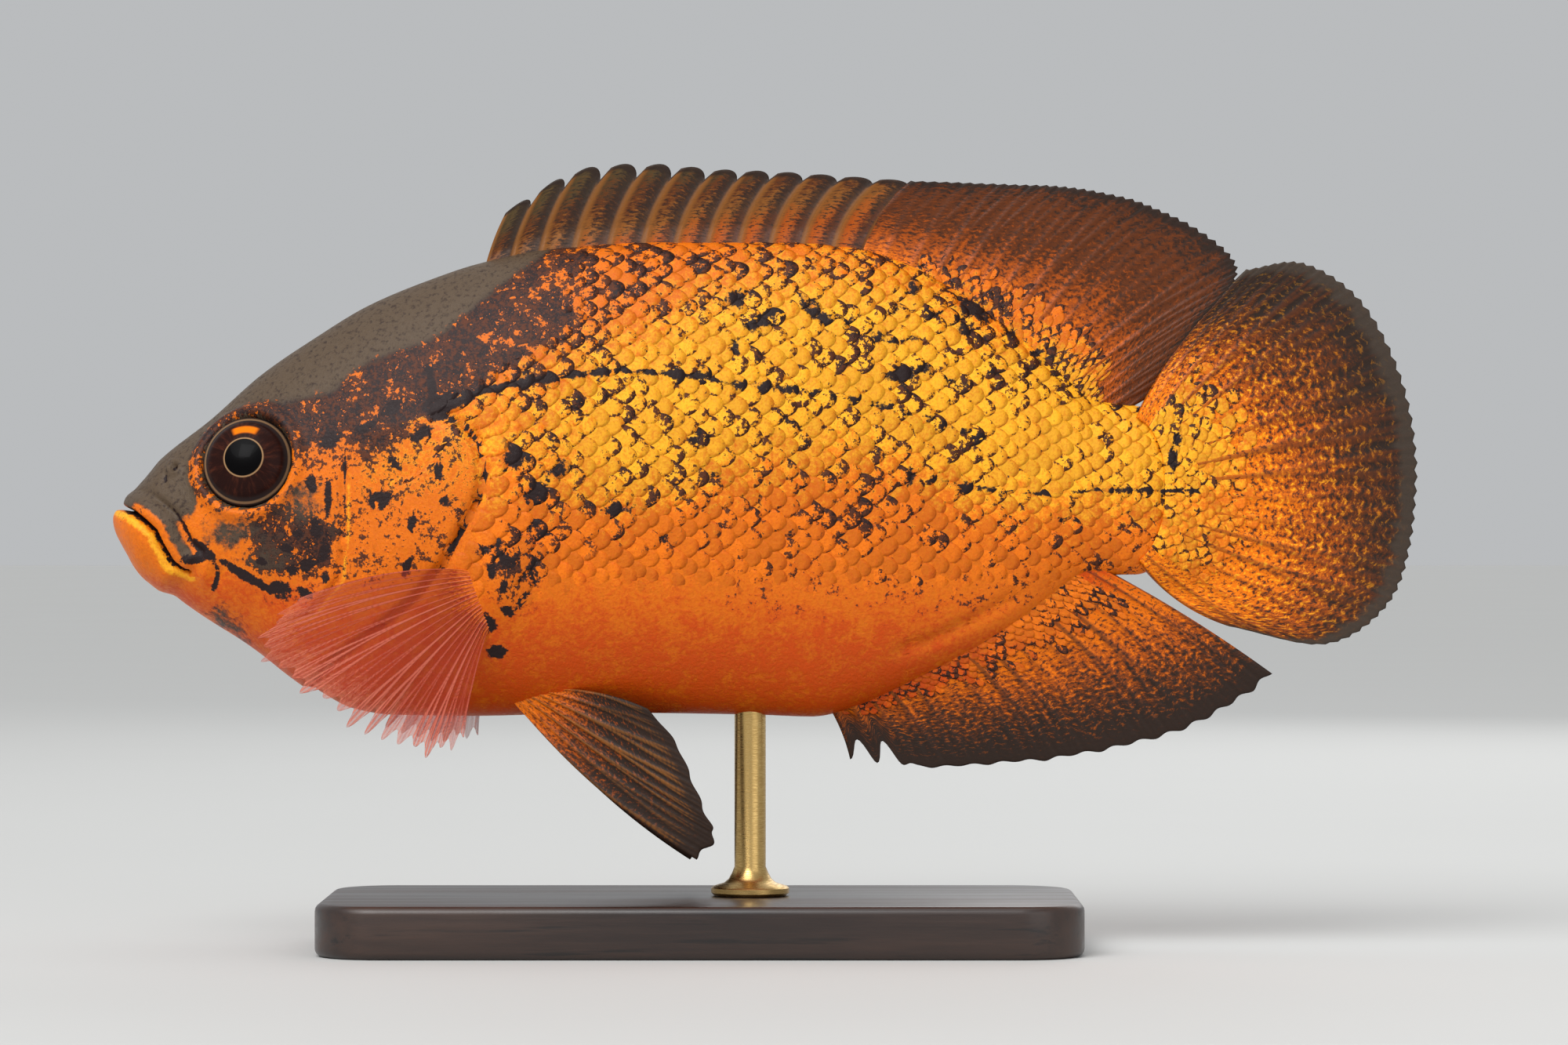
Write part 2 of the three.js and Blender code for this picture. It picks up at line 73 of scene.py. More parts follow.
# The fish's own frame, in millimetres: x from the lower lip to the end of the tail fin, z from
# the level of the lower lateral line, y outwards from the middle plane.
MM = 0.001
HALF_LENGTH = (CAD_HIGH.x - CAD_LOW.x) / 2 / MM
LOWEST_FIN_TIP = 57.8
BASE_CLEARANCE = 4.5
AXIS_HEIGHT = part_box("stand_base")[1].z / MM + BASE_CLEARANCE + LOWEST_FIN_TIP

# The body from the side and from above: [x, height] along the back and belly, [x, half width].
BACK = [
    (1.2, 0.2), (4.3, 1.7), (7.1, 4.8), (14.7, 10.8), (22.5, 17.7), (30.5, 23.2),
    (38.9, 28.3), (47.9, 32.1), (56, 34.8), (66.6, 37), (84, 38.1), (103, 38.1),
    (113, 37.4), (121, 35.2), (129.2, 31.2), (137.6, 25.4), (145, 18.9), (151, 13.8),
    (157, 12.9), (163.6, 12.9),
]
BELLY = [
    (1.2, -10.3), (2.9, -11.9), (6.4, -14), (11, -17.6), (16.1, -21), (23.5, -25.3),
    (32, -31.2), (36.5, -33.5), (42.5, -34.5), (55, -34.7), (75, -34.2), (98, -34.5),
    (107, -34.8), (114.8, -32.9), (120.8, -30.4), (132.8, -24.4), (138.8, -20.6),
    (144.9, -16), (149.5, -13.2), (157, -13), (163.6, -13),
]
HALF_WIDTH = [
    (1.2, 5.2), (4, 6.6), (8, 8.2), (16, 10.6), (24, 12.4), (34, 14.3), (46, 15.6),
    (60, 15.8), (78, 14.8), (98, 12.6), (114, 10.2), (130, 7.7), (145, 5.5), (157, 3.9),
    (163.6, 2.6),
]
SNOUT_X = 1.2
SNOUT_Z = -4.4
SNOUT_ROUND = 4.2
STALK_END_X = 163.6
STALK_ROUND = 7
BACK_WEDGE = 1.12
BELLY_ROUND = 0.94

# Lines of the head in the side view.
MOUTH_LINE = [
    (-6, -2.5), (1.4, -2.8), (3.8, -3.6), (5.6, -4.9), (7.2, -6.3), (8.2, -8.3),
    (9.8, -10.9), (12.4, -12.9),
]
GILL_EDGE = [
    (48.4, 18), (49.8, 10.9), (53.7, 9.6), (56.3, 6.5), (56.9, 2.2), (55.9, -1.5),
    (53.7, -5.5), (50.9, -10.9), (47, -15.9), (41, -20.8), (34, -25.7), (28.5, -31),
]
CHEEK_EDGE = [(36.2, 6), (35.9, 0), (35.9, -8), (35.2, -13.5), (31, -18.5), (24, -21)]
UPPER_LATERAL = [
    (49.7, 11.4), (57, 15), (69, 17.2), (78.6, 18.1), (88.3, 17.2), (96.7, 15.7),
    (104.5, 15.1), (111, 14.1), (116.8, 12.9), (126.4, 10.2), (136, 6.4),
]
LOWER_LATERAL = [
    (125.2, 1.9), (129.1, 0.6), (140.6, -0.6), (150.9, 0), (166.2, -0.2),
]
NOSTRIL = (9.7, 3.4)
EYE_CENTRE = (21.4, 4.0)
EYE_SUNK = 1.7
EYE_DEPTH = 3.9
EYE_TILT_UP = 14
EYE_TILT_AHEAD = 9
EYE_ROUGHNESS = 0.35
# Half the floor's width, in metres.
FLOOR_HALF = 8
# Where the coat of scales starts, as [z, x].
FRONT_OF_SCALES = [(-40, 29), (-30, 31), (-20, 36), (-12, 37.4), (6, 37.6), (12, 38), (27, 41),
                   (40, 44)]
VENT_CREASE = [(118, -25.6), (126, -22.8), (134, -18.8), (141, -14.6)]

# Dark blotches: x, z, half length, half height, and turn in degrees, front end down.
BLOTCHES = [
    (94.9, 29, 1.8, 1.5, 0), (98.4, 25.4, 3.9, 1.2, 32), (95.2, 21.6, 0.8, 2.2, 0),
    (106.9, 27.2, 4.6, 1.1, -50), (112.8, 26.1, 1.1, 1.0, 0), (116.8, 23.4, 1.3, 1.3, 0),
    (120.2, 22.8, 3.0, 0.5, 5), (120.8, 17.8, 3.4, 1.2, 18), (122.1, 30.9, 1.3, 1.6, 0),
    (119.6, 27.5, 0.8, 0.9, 0), (125.6, 26.9, 1.9, 0.9, -20), (130.9, 27.7, 3.3, 1.5, -40),
    (129.8, 24.2, 1.4, 1.3, 0), (137.3, 23.6, 0.9, 0.9, 0), (140.8, 20.9, 1.2, 1.2, 0),
    (122, 2.6, 0.9, 3.2, -12), (113.5, 2.6, 1.7, 0.6, 0), (77.4, -3, 2.6, 0.9, 4),
    (61.4, 4.6, 2, 1.9, 20), (64.7, -0.6, 1.8, 2.4, -35), (68.5, 3.2, 1.2, 1.4, 0),
    (162.2, 4.8, 0.9, 1.9, 0), (163, 7.6, 0.7, 1.1, 0), (157.7, 12.4, 1.6, 1.0, 0),
    (57.4, -9.0, 2.6, 1.0, 20), (60.6, -10.4, 1.8, 0.7, -35), (63.2, -8.6, 0.8, 1.2, 0),
    (64.6, -12.2, 0.8, 2.2, 8), (62.4, -13.4, 1.2, 0.7, 30), (63.4, -16.4, 1.7, 0.7, 55),
    (60.4, -14.4, 0.6, 1.5, -15), (60.8, -18.2, 1.2, 0.9, -25), (58.6, -12.4, 0.7, 1.3, 15),
    (57.6, -20.2, 1.3, 1.6, 40), (59.2, -24.6, 1.5, 1.1, 0), (64.8, -5.4, 1.1, 1.6, -25),
    (67, -6.8, 1.4, 0.7, 10), (60.2, -5.2, 0.8, 1.3, 20), (103.4, -6.6, 1.5, 0.7, 0),
    (84.5, -7.4, 0.8, 1.2, 0),
    (92, 2.2, 1.4, 0.6, -30), (88.8, 8.6, 0.5, 2.6, -10), (44, 3.8, 1.6, 0.5, -40),
    (41.6, -1.6, 1.9, 1.6, 10), (46.6, -5.2, 0.7, 1.6, 0), (50.6, 2.6, 0.6, 2.0, 0),
    (45.8, -11.6, 0.6, 1.5, -20), (51.5, -1.8, 0.8, 0.9, 0), (48, 8.4, 2.2, 0.8, 30),
    (145.5, -4.6, 3.2, 0.4, 0), (103, 10.6, 3.4, 0.5, -30), (112.3, 6.4, 0.7, 1.6, 20),
    (133.5, 18.2, 1.2, 0.6, -30), (127.6, 16.6, 1.5, 0.7, -25), (137.6, 17.2, 1.0, 1.0, 0),
    (21.6, -13.4, 6.2, 0.7, -30), (30.5, -11.4, 1.5, 1.1, 20), (26.2, -14.8, 1.7, 1.1, -20),
    (33.8, -1.4, 0.7, 3.0, 0), (31.2, 1.0, 0.8, 1.4, 20), (14.3, -9.1, 3.4, 0.8, -38),
    (31.8, -5.8, 0.9, 1.7, 10), (27.4, -8.9, 1.5, 0.6, -20), (34, 7.4, 1.8, 1.1, 30),
    (29, -6.6, 0.8, 0.7, 0), (33.2, -9.4, 0.8, 1.3, -15), (28.2, -12.2, 1.0, 0.8, 30),
    (23.4, -10.8, 0.9, 0.5, -25), (30.2, -15.6, 1.4, 0.7, -30), (33.4, -13.2, 0.6, 1.2, 10),
    (39.6, 9.6, 1.6, 0.8, 20), (43.6, 12.6, 2.0, 0.9, 35), (50.6, 13.4, 2.6, 1.0, 25),
]
# The lower edge of the grey-brown forehead and nape, and the middle of the rise into the
# marbled zone behind it.
GREY_EDGE = [(0, -3), (6.4, -4), (10, -5.4), (12.6, -4.6), (14.6, 0), (15.6, 8), (22, 12.4),
             (32, 13.6), (40, 18.9), (50, 22.6), (57, 28.6), (64, 34), (70, 38.5), (78, 41),
             (96, 44)]
MARBLE_EDGE = [(20, -2), (30, 2), (40, 3), (50, 9), (60, 15), (70, 18.5), (84, 22), (96, 25),
               (108, 27), (120, 25), (132, 17), (142, 11), (150, 9)]

# Faces along one scale, where its coat is split in two pieces, and faces from ray to ray of a fin.
SCALE_CELLS = 5
COAT_SPLIT_X = 92
FIN_CELLS = 12
# A spine's half width as a share of the gap between two, and the joints along a soft ray.
SPINE_WIDTH = 0.15
RAY_JOINTS = 34
# A scale's patch in OFBake reaches this far from its middle.
SCALE_PATCH = 0.0015
# Seeds for the scales of the body and of the fins.
COAT_SEED = 7
FIN_COAT_SEED = 31
# Steps from the back's middle to the belly's where a section's width is looked up.
SECTION_STEPS = 721


def profile(pairs):
    """A smooth function through (x, value) pairs that never overshoots them."""
    places, values = np.array(pairs, float).T
    steps = np.diff(places)
    rise = np.diff(values) / steps
    before = np.concatenate([rise[:1], rise])
    after = np.concatenate([rise, rise[-1:]])
    agree = before * after > 0
    slope = np.where(agree, 2 * before * after / np.where(agree, before + after, 1), 0)

    def at(x):
        i = np.clip(np.searchsorted(places, x, side="right") - 1, 0, len(places) - 2)
        t = np.clip((x - places[i]) / steps[i], 0, 1)
        a = values[i] * (1 + 2 * t) + slope[i] * steps[i] * t
        b = values[i + 1] * (3 - 2 * t) - slope[i + 1] * steps[i] * (1 - t)
        return a * (1 - t) ** 2 + b * t**2

    return at


back_at = profile(BACK)
belly_at = profile(BELLY)
half_width_at = profile(HALF_WIDTH)
grey_edge_at = profile(GREY_EDGE)
marble_edge_at = profile(MARBLE_EDGE)


def ease(value, low, high):
    """0 below low, 1 above high, and a smooth rise between."""
    t = np.clip((value - low) / (high - low), 0, 1)
    return t * t * (3 - 2 * t)


def bump(distance, width):
    return np.exp(-((distance / width) ** 2))


def spot(x, z, centre, reach):
    """A soft oval spot in the side view: 1 at its centre and nearly 0 at twice its reach."""
    return bump(np.hypot((x - centre[0]) / reach[0], (z - centre[1]) / reach[1]), 1)


def roll(distance, crest, width):
    """A lip's section: a steep round rise from 0 to crest, then a slow fall to width."""
    rise = np.sqrt(np.clip(1 - (np.minimum(distance, crest) / crest - 1) ** 2, 0, 1))
    return np.where(distance > 0, rise, 0) * (1 - ease(distance, crest, width))


def from_line(x, z, line):
    """How far each point lies to the left of a line in the side view, and its share along it."""
    line = np.array(line, float)
    lengths = np.hypot(*np.diff(line, axis=0).T)
    passed = np.concatenate([[0], np.cumsum(lengths)])
    best = np.full(np.shape(x), 1e9)
    share = np.zeros(np.shape(x))
    for (ax, az), (bx, bz), length, start in zip(line, line[1:], lengths, passed):
        dx, dz = (bx - ax) / length, (bz - az) / length
        run = np.clip((x - ax) * dx + (z - az) * dz, 0, length)
        away = np.hypot(x - ax - run * dx, z - az - run * dz)
        side = np.where(dx * (z - az) - dz * (x - ax) < 0, -1, 1)
        nearer = away < np.abs(best)
        best = np.where(nearer, side * away, best)
        share = np.where(nearer, (start + run) / passed[-1], share)
    return best, share


def flank(along, around):
    """The bare body. along runs 0 to 1 from snout to stalk; around is 0 at the back, half a
    turn at the belly, and positive on the right side."""
    x = SNOUT_X + (STALK_END_X - SNOUT_X) * (1 - np.cos(np.pi * along)) / 2
    front = np.clip(1 - (x - SNOUT_X) / SNOUT_ROUND, 0, 1)
    rear = np.clip(1 - (STALK_END_X - x) / STALK_ROUND, 0, 1)
    opened = np.sqrt((1 - front**2) * (1 - rear**2))
    back, belly = back_at(x), belly_at(x)
    centre = np.where(x > STALK_END_X - STALK_ROUND, (back + belly) / 2, SNOUT_Z)
    top = centre + (back - centre) * opened
    bottom = centre + (belly - centre) * opened
    level, side = np.cos(around), np.sin(around)
    power = np.where(level > 0, BACK_WEDGE, BELLY_ROUND)
    y = np.sign(side) * np.abs(side) ** power * half_width_at(x) * opened
    return np.stack([x, y, (top + bottom) / 2 + level * (top - bottom) / 2], axis=-1)


def flank_normal(along, around):
    step = 2e-3
    ahead = flank(np.clip(along + step, 0, 1), around) - flank(np.clip(along - step, 0, 1), around)
    down = flank(along, around + step) - flank(along, around - step)
    normal = np.cross(ahead, down)
    size = np.linalg.norm(normal, axis=-1, keepdims=True)
    end = np.zeros_like(normal)
    end[..., 0] = np.where(along < 0.5, -1, 1)
    return np.where(size > 1e-9, normal / np.maximum(size, 1e-9), end)


def along_of(x):
    return np.arccos(np.clip(1 - 2 * (x - SNOUT_X) / (STALK_END_X - SNOUT_X), -1, 1)) / np.pi


def half_width_in_side_view(x, z):
    """The body's half width at one point of its side view."""
    turns = np.linspace(0, np.pi, SECTION_STEPS)
    section = flank(np.full(SECTION_STEPS, float(along_of(x))), turns)
    return float(np.interp(-z, -section[:, 2], section[:, 1]))


EYE_AXIS = (
    Matrix.Rotation(math.radians(EYE_TILT_AHEAD), 3, "Z")
    @ Matrix.Rotation(math.radians(EYE_TILT_UP), 3, "X")
    @ Vector((0, 1, 0))
)
EYE_Y = half_width_in_side_view(*EYE_CENTRE) - EYE_SUNK


def around_eye(points):
    """Distance from the eye's axis, height along it, and the side-view angle round it."""
    places = np.array(points, float)
    places[..., 1] = np.abs(places[..., 1])
    rel = places - [EYE_CENTRE[0], EYE_Y, EYE_CENTRE[1]]
    out = rel @ np.array(EYE_AXIS)
    radial = np.linalg.norm(rel - out[..., None] * np.array(EYE_AXIS), axis=-1)
    return radial, out, np.arctan2(rel[..., 2], rel[..., 0])


def nose_marks(x, z):
    """Distances from the nostril, and from the slit ahead of it in shares of its own size."""
    ahead, up = x - NOSTRIL[0], z - NOSTRIL[1]
    return np.hypot(ahead, up), np.hypot((ahead + 1.4) / 0.35, (up + 1.6) / 0.9)


def skin_relief(points, sizes):
    """How far the skin stands out of the bare body, in millimetres, at points on it."""
    x, z = points[..., 0], points[..., 2]
    mouth, share = from_line(x, z, MOUTH_LINE)
    muzzle = 1 - ease(x, 20, 26)
    backed = ease(share, 0.34, 0.56)
    ended = 1 - ease(share, 0.93, 1)
    out = sizes.lip_height * (0.35 + 0.5 * backed) * roll(mouth, 1.5, 3.5) * ended * muzzle
    out += sizes.lip_height * 1.1 * roll(-mouth, 1.7, 9) * (1 - ease(share, 0.86, 1)) * muzzle
    out -= 2.0 * bump(mouth, 0.3) * (1 - ease(share, 0.97, 1)) * muzzle
    out -= 0.6 * bump(mouth - 3.8, 0.5) * backed * (1 - ease(share, 0.97, 1)) * muzzle
    corner_fold, corner_dent = (14.6, -12.6), (16.6, -12.9)
    out += 0.55 * spot(x, z, corner_fold, (1, 2)) - 0.5 * spot(x, z, corner_dent, (0.8, 1.44))
    nostril, slit = nose_marks(x, z)
    out += 0.42 * bump(nostril - 0.95, 0.38) - 0.9 * bump(nostril, 0.42) - 0.4 * bump(slit, 1)
    radial, height, _ = around_eye(points)
    near = ease(height, -7, -4)
    out += sizes.orbit_height * bump(radial - sizes.eye_radius - 1.0, 1.1) * near
    out -= 3.2 * (1 - ease(radial, sizes.eye_radius - 0.5, sizes.eye_radius + 0.25)) * near
    cheek, along = from_line(x, z, CHEEK_EDGE)
    fade = ease(along, 0, 0.12) * (1 - ease(along, 0.75, 1))
    out += (0.35 * bump(cheek + 0.7, 0.6) - 0.5 * bump(cheek - 0.15, 0.35)) * fade
    gill, along = from_line(x, z, GILL_EDGE)
    fade = ease(along, 0.06, 0.2)
    cover = ease(-gill, 0, 0.5) * (1 - ease(-gill, 3, 15))
    out += (0.85 * cover - 0.7 * bump(gill - 0.55, 0.55)) * fade
    pectoral_root = (60, -14.5)
    out += spot(x, z, pectoral_root, (2.6, 5.2))
    for line in (UPPER_LATERAL, LOWER_LATERAL):
        away, _ = from_line(x, z, line)
        out += 0.1 * bump(away, 0.5)
    crease, along = from_line(x, z, VENT_CREASE)
    out -= 0.5 * bump(crease, 1.1) * ease(along, 0, 0.2) * (1 - ease(along, 0.8, 1))
    return out


def place(points):
    """Own millimetres to the frame's metres."""
    return (points + [-HALF_LENGTH, 0, AXIS_HEIGHT]) * MM


def blotches(x, z):
    """The strength of the nearest dark blotch: 1 at its middle, 0.5 at its edge."""
    best = np.zeros(np.shape(x))
    for cx, cz, long, high, turn in BLOTCHES:
        c, s = math.cos(math.radians(turn)), math.sin(math.radians(turn))
        a = ((x - cx) * c + (z - cz) * s) / long
        b = ((z - cz) * c - (x - cx) * s) / high
        best = np.maximum(best, np.exp(-0.69 * (a * a + b * b)))
    return best


def pigment(points, sizes):
    """Where the markings lie: dark, grey, red and marbled shares, and the yellow share, which also
    holds a painted highlight along the top of the lower lip.
    """
    x, z = points[..., 0], points[..., 2]
    # Lines and blotches that are nearly black.
    dark = blotches(x, z)
    for line, strength, fading, width in ((UPPER_LATERAL, 1.25, 0.42, 0.7),
                                          (LOWER_LATERAL, 0.95, 0.2, 0.55)):
        away, along = from_line(x, z, line)
        dark = np.maximum(dark, strength * bump(away, width) * (1 - fading * along))
    mouth, share = from_line(x, z, MOUTH_LINE)
    muzzle = (1 - ease(x, 18, 22)) * (x < 22)
    dark = np.maximum(dark, bump(mouth, 0.42) * muzzle * (1 - ease(share, 0.95, 1)))
    dark = np.maximum(dark, 0.75 * bump(mouth - 4.1, 0.55) * muzzle * ease(share, 0.5, 0.7))
    nostril, slit = nose_marks(x, z)
    dark = np.maximum.reduce([dark, bump(nostril, 0.45), bump(slit, 0.9)])
    gill, along = from_line(x, z, GILL_EDGE)
    dark = np.maximum(dark, 1.15 * bump(gill - 0.6, 0.5) * (1 - ease(along, 0.5, 0.62)))
    cheek, along = from_line(x, z, CHEEK_EDGE)
    dark = np.maximum(dark, 0.8 * bump(cheek - 0.25, 0.3) * (1 - ease(along, 0.25, 0.4)))
    dark = np.maximum(dark, 0.8 * spot(x, z, (13.2, -10.4), (2.4, 1)))
    # The grey-brown of the forehead, nape and upper lip, and its patches on the cheek and chin.
    grey = ease(z - grey_edge_at(x), -2.4, 3.2) * (1 - ease(x, 64, 82))
    radial, _, angle = around_eye(points)
    ring = bump(radial - sizes.eye_radius - 1.0, 1.4) * ease(-np.cos(angle - 0.45), -0.1, 0.5)
    grey = grey * (1 - ring)
    grey = np.where(radial < sizes.eye_radius + 0.2, 1, grey)
    grey = np.maximum(grey, 0.85 * bump(mouth - 2.4, 1.1) * (1 - ease(x, 12, 15)) * (mouth > 0))
    lip_edge = bump(mouth - 0.7, 0.75) * (mouth > 0) * ease(x, 3, 5) * (1 - ease(x, 13, 15))
    grey = grey * (1 - 0.9 * lip_edge)
    chin = ease(-z, 13, 17) * (1 - ease(x, 16, 30)) * ease(-mouth, 4, 7)
    behind_eye = spot(x, z, (31, -2.5), (7.68, 6.4))
    cheek_shade = spot(x, z, (25, -9.5), (8.4, 5.6))
    below_eye = spot(x, z, (19, -6.4), (6.9, 4.6)) * (mouth > 3)
    grey = np.maximum.reduce([grey, 0.5 * chin, 0.58 * behind_eye, 0.56 * cheek_shade,
                              0.6 * below_eye])
    # The red of the belly and throat.
    red = 0.74 * ease(-z, 4, 28) * (1 - 0.4 * ease(x, 118, 150))
    red = np.maximum(red, 0.55 * ease(-z, 8, 16) * (1 - ease(x, 30, 46)))
    # How dense the dark net is, on the nape, gill cover, cheek, behind the pectoral fin, on the
    # flank, on the rear belly and at the anal fin's root.
    marble = np.maximum.reduce([
        ease(z - marble_edge_at(x), -7, 7) * (0.72 - 0.28 * ease(x, 56, 88)),
        0.36 * ease(x, 27, 33) * (1 - ease(gill, -0.5, 0.5)) * ease(z, -19, -10),
        0.78 * ease(x, 18, 24) * (1 - ease(x, 33, 36)) * bump(z + 8, 7),
        0.66 * spot(x - 0.15 * (z + 12), z, (62.3, -11.5), (4.2, 7.14)),
        0.34 * ease(x, 56, 64) * (1 - 0.5 * ease(x, 116, 140)) * ease(z, -14, -4),
        0.2 * ease(x, 76, 96) * ease(z, -26, -16),
        0.46 * ease(belly_at(x) - z, -1, 5) * ease(x, 104, 110),
    ])
    # The yellow of the flank and of the cheek's pale edge, and a painted highlight in yellow along
    # the top of the lower lip.
    crest = 10 + 9 * ease(x, 76, 104) * (1 - ease(x, 118, 140))
    yellow = (0.45 + 0.55 * ease(x, 56, 88)) * bump(z - crest, 18) * ease(x, 34, 40)
    yellow *= 1 - ease(-z, -2, 16)
    # Painted highlight: yellow on the upper face of the lower lip, just under the mouth's slit.
    yellow = np.maximum(yellow, 0.95 * bump(mouth + 0.75, 0.5) * muzzle * (mouth < 0))
    yellow = np.maximum(yellow, 0.7 * bump(cheek - 0.9, 0.35) * ease(along, 0.05, 0.15))
    return np.stack([dark, grey, red, marble], axis=-1), np.clip(yellow, 0, 1)


def coordinates(mesh):
    flat = np.empty(len(mesh.vertices) * 3)
    mesh.vertices.foreach_get("co", flat)
    return flat.reshape(-1, 3)


def set_coordinates(mesh, points):
    mesh.vertices.foreach_set("co", np.ascontiguousarray(points, float).ravel())
    mesh.update()


def set_attribute(mesh, name, values):
    """A four-number attribute on the mesh's points."""
    layer = mesh.attributes.new(name, "FLOAT_COLOR", "POINT")
    layer.data.foreach_set("color", np.ascontiguousarray(values, float).ravel())


def finish_mesh(bm, name):
    mesh = bpy.data.meshes.new(name)
    bm.to_mesh(mesh)
    bm.free()
    mesh.shade_smooth()
    return mesh


def add_piece(name, mesh, material, slot, *nodes):
    """Puts a finished mesh in the scene, riding on the fish and standing for its CAD nodes."""
    piece = bpy.data.objects.new(name, mesh)
    bpy.context.scene.collection.objects.link(piece)
    mesh.materials.append(material)
    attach(piece, "root")
    if nodes:
        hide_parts(*nodes)
    return piece


def add_closed_piece(name, mesh, points, material, slot, *nodes):
    """Puts a closed mesh's points, in own millimetres, in place and its faces outwards."""
    set_coordinates(mesh, place(points))
    bm = bmesh.new()
    bm.from_mesh(mesh)
    bmesh.ops.recalc_face_normals(bm, faces=bm.faces)
    bm.to_mesh(mesh)
    bm.free()
    mesh.shade_smooth()
    return add_piece(name, mesh, material, slot, *nodes)


def slab(across, along):
    """A closed plate, two faces and a rim, over the square from -1 to 1 and with z 0 or 1."""
    bm = bmesh.new()
    bmesh.ops.create_grid(bm, x_segments=across, y_segments=along, size=1)
    made = bmesh.ops.extrude_face_region(bm, geom=bm.faces[:], use_keep_orig=True)
    raised = [e for e in made["geom"] if isinstance(e, bmesh.types.BMVert)]
    bmesh.ops.translate(bm, verts=raised, vec=(0, 0, 1))
    bmesh.ops.recalc_face_normals(bm, faces=bm.faces)
    return bm


def scale_batch(name, count):
    """A mesh of so many flat scales. With it come the places of one scale's points: on a square
    from front to rear and across with 0 or 1 for the face, and on a disc with the distance from
    its middle."""
    template = finish_mesh(slab(SCALE_CELLS, SCALE_CELLS), "scale")
    bm = bmesh.new()
    for _ in range(count):
        bm.from_mesh(template)
    a, b, face = coordinates(template).T
    bpy.data.meshes.remove(template)
    rearward = a * np.sqrt(1 - b * b / 2)
    across = b * np.sqrt(1 - a * a / 2)
    return finish_mesh(bm, name), (a, b, face), (rearward, across, np.hypot(rearward, across))


def add_coat(name, mesh, points, shares, coat, patch):
    """Adds a coat of scales: its points, its markings, and each scale's own patch of OFBake."""
    set_attribute(mesh, "Pigment", shares.reshape(-1, 4))
    coat = np.stack([np.broadcast_to(part, shares.shape[:2]) for part in coat], axis=-1)
    set_attribute(mesh, "Coat", coat.reshape(-1, 4))
    ends = np.empty(len(mesh.loops), int)
    mesh.loops.foreach_get("vertex_index", ends)
    layer = mesh.uv_layers.new(name="OFBake")
    flat = np.stack([part.ravel()[ends] for part in patch], axis=-1)
    layer.data.foreach_set("uv", flat.ravel())
    material = bpy.data.materials["oscar_flesh"]
    add_closed_piece(name, mesh, points.reshape(-1, 3), material, "trunk")


def rear_rim(a, away):
    """The share of a scale's bare rear rim."""
    return ease(away, 0.72, 0.98) * (a > -0.2)


# Materials


class Paint:
    """A node material being mixed: one Principled shader, the nodes that feed it, and the base
    colour mixed so far."""

    def __init__(self, name, base=None, **shader):
        self.base = base
        self.material = bpy.data.materials.new(name)
        self.material.use_nodes = True
        self.tree = self.material.node_tree
        self.shader = self.tree.nodes["Principled BSDF"]
        for socket, value in shader.items():
            self.shader.inputs[socket.replace("_", " ")].default_value = value

    def node(self, kind, sockets=(), **settings):
        made = self.tree.nodes.new(kind)
        for key, value in settings.items():
            setattr(made, key, value)
        for socket, value in dict(sockets).items():
            self.feed(made.inputs[socket], value)
        return made

    def feed(self, socket, value):
        if isinstance(value, bpy.types.NodeSocket):
            self.tree.links.new(value, socket)
        elif hasattr(value, "__len__") and len(value) == 3 and socket.type == "RGBA":
            socket.default_value = (*value, 1)
        else:
            socket.default_value = value

    def mix(self, share, first, second, blend="MIX"):
        made = self.node("ShaderNodeMix", data_type="RGBA", blend_type=blend)
        self.feed(made.inputs[0], share)
        self.feed(made.inputs[6], first)
        self.feed(made.inputs[7], second)
        return made.outputs[2]

    def math(self, operation, *values):
        made = self.node("ShaderNodeMath", operation=operation)
        for socket, value in zip(made.inputs, values):
            self.feed(socket, value)
        return made.outputs[0]

    def times(self, first, second):
        return self.math("MULTIPLY", first, second)

    def add(self, base, value, amount=1.0):
        """base + value * amount."""
        return self.math("MULTIPLY_ADD", value, amount, base)

    def centred(self, value, middle=0.5):
        return self.math("SUBTRACT", value, middle)

    def between(self, value, rise, fall):
        """1 between two soft steps, each given as the values at its outer and inner end."""
        return self.times(self.step(value, *rise), self.step(value, *fall))

    def vector(self, x, y, z=0.0):
        return self.node("ShaderNodeCombineXYZ", {"X": x, "Y": y, "Z": z}).outputs[0]

    def step(self, value, low, high, start=0.0, end=1.0):
        """A smooth rise of a value from start at low to end at high."""
        made = self.node("ShaderNodeMapRange", interpolation_type="SMOOTHSTEP")
        self.feed(made.inputs["Value"], value)
        for socket, number in zip(("From Min", "From Max", "To Min", "To Max"),
                                  (low, high, start, end)):
            made.inputs[socket].default_value = number
        return made.outputs["Result"]

    def noise(self, scale, detail=3.0, vector=None, roughness=0.55):
        sockets = {"Scale": scale, "Detail": detail, "Roughness": roughness}
        sockets["Vector"] = vector or self.place()
        return self.node("ShaderNodeTexNoise", sockets).outputs["Fac"]

    def place(self):
        if not hasattr(self, "object_place"):
            self.object_place = self.node("ShaderNodeTexCoord").outputs["Object"]
        return self.object_place

    def attribute(self, name):
        """The three numbers of an attribute, and its fourth."""
        read = self.node("ShaderNodeAttribute", attribute_name=name)
        parts = self.node("ShaderNodeSeparateColor", {"Color": read.outputs["Color"]})
        return (*parts.outputs[:3], read.outputs["Alpha"])

    def bump(self, height, distance, strength=1.0):
        made = self.node("ShaderNodeBump", {"Height": height, "Distance": distance,
                                            "Strength": strength})
        self.feed(self.shader.inputs["Normal"], made.outputs["Normal"])

    def over(self, tone, value, low, high, start=0.0, end=1.0):
        """Lays a tone over the base colour, from share start where a value is low to end."""
        self.base = self.mix(self.step(value, low, high, start, end), self.base, tone)

    def finish(self, value, low, high, smooth, rough):
        """Feeds the base colour, and a roughness that follows a value, to the shader."""
        self.feed(self.shader.inputs["Base Color"], self.base)
        self.feed(self.shader.inputs["Roughness"], self.step(value, low, high, smooth, rough))
        return self.material


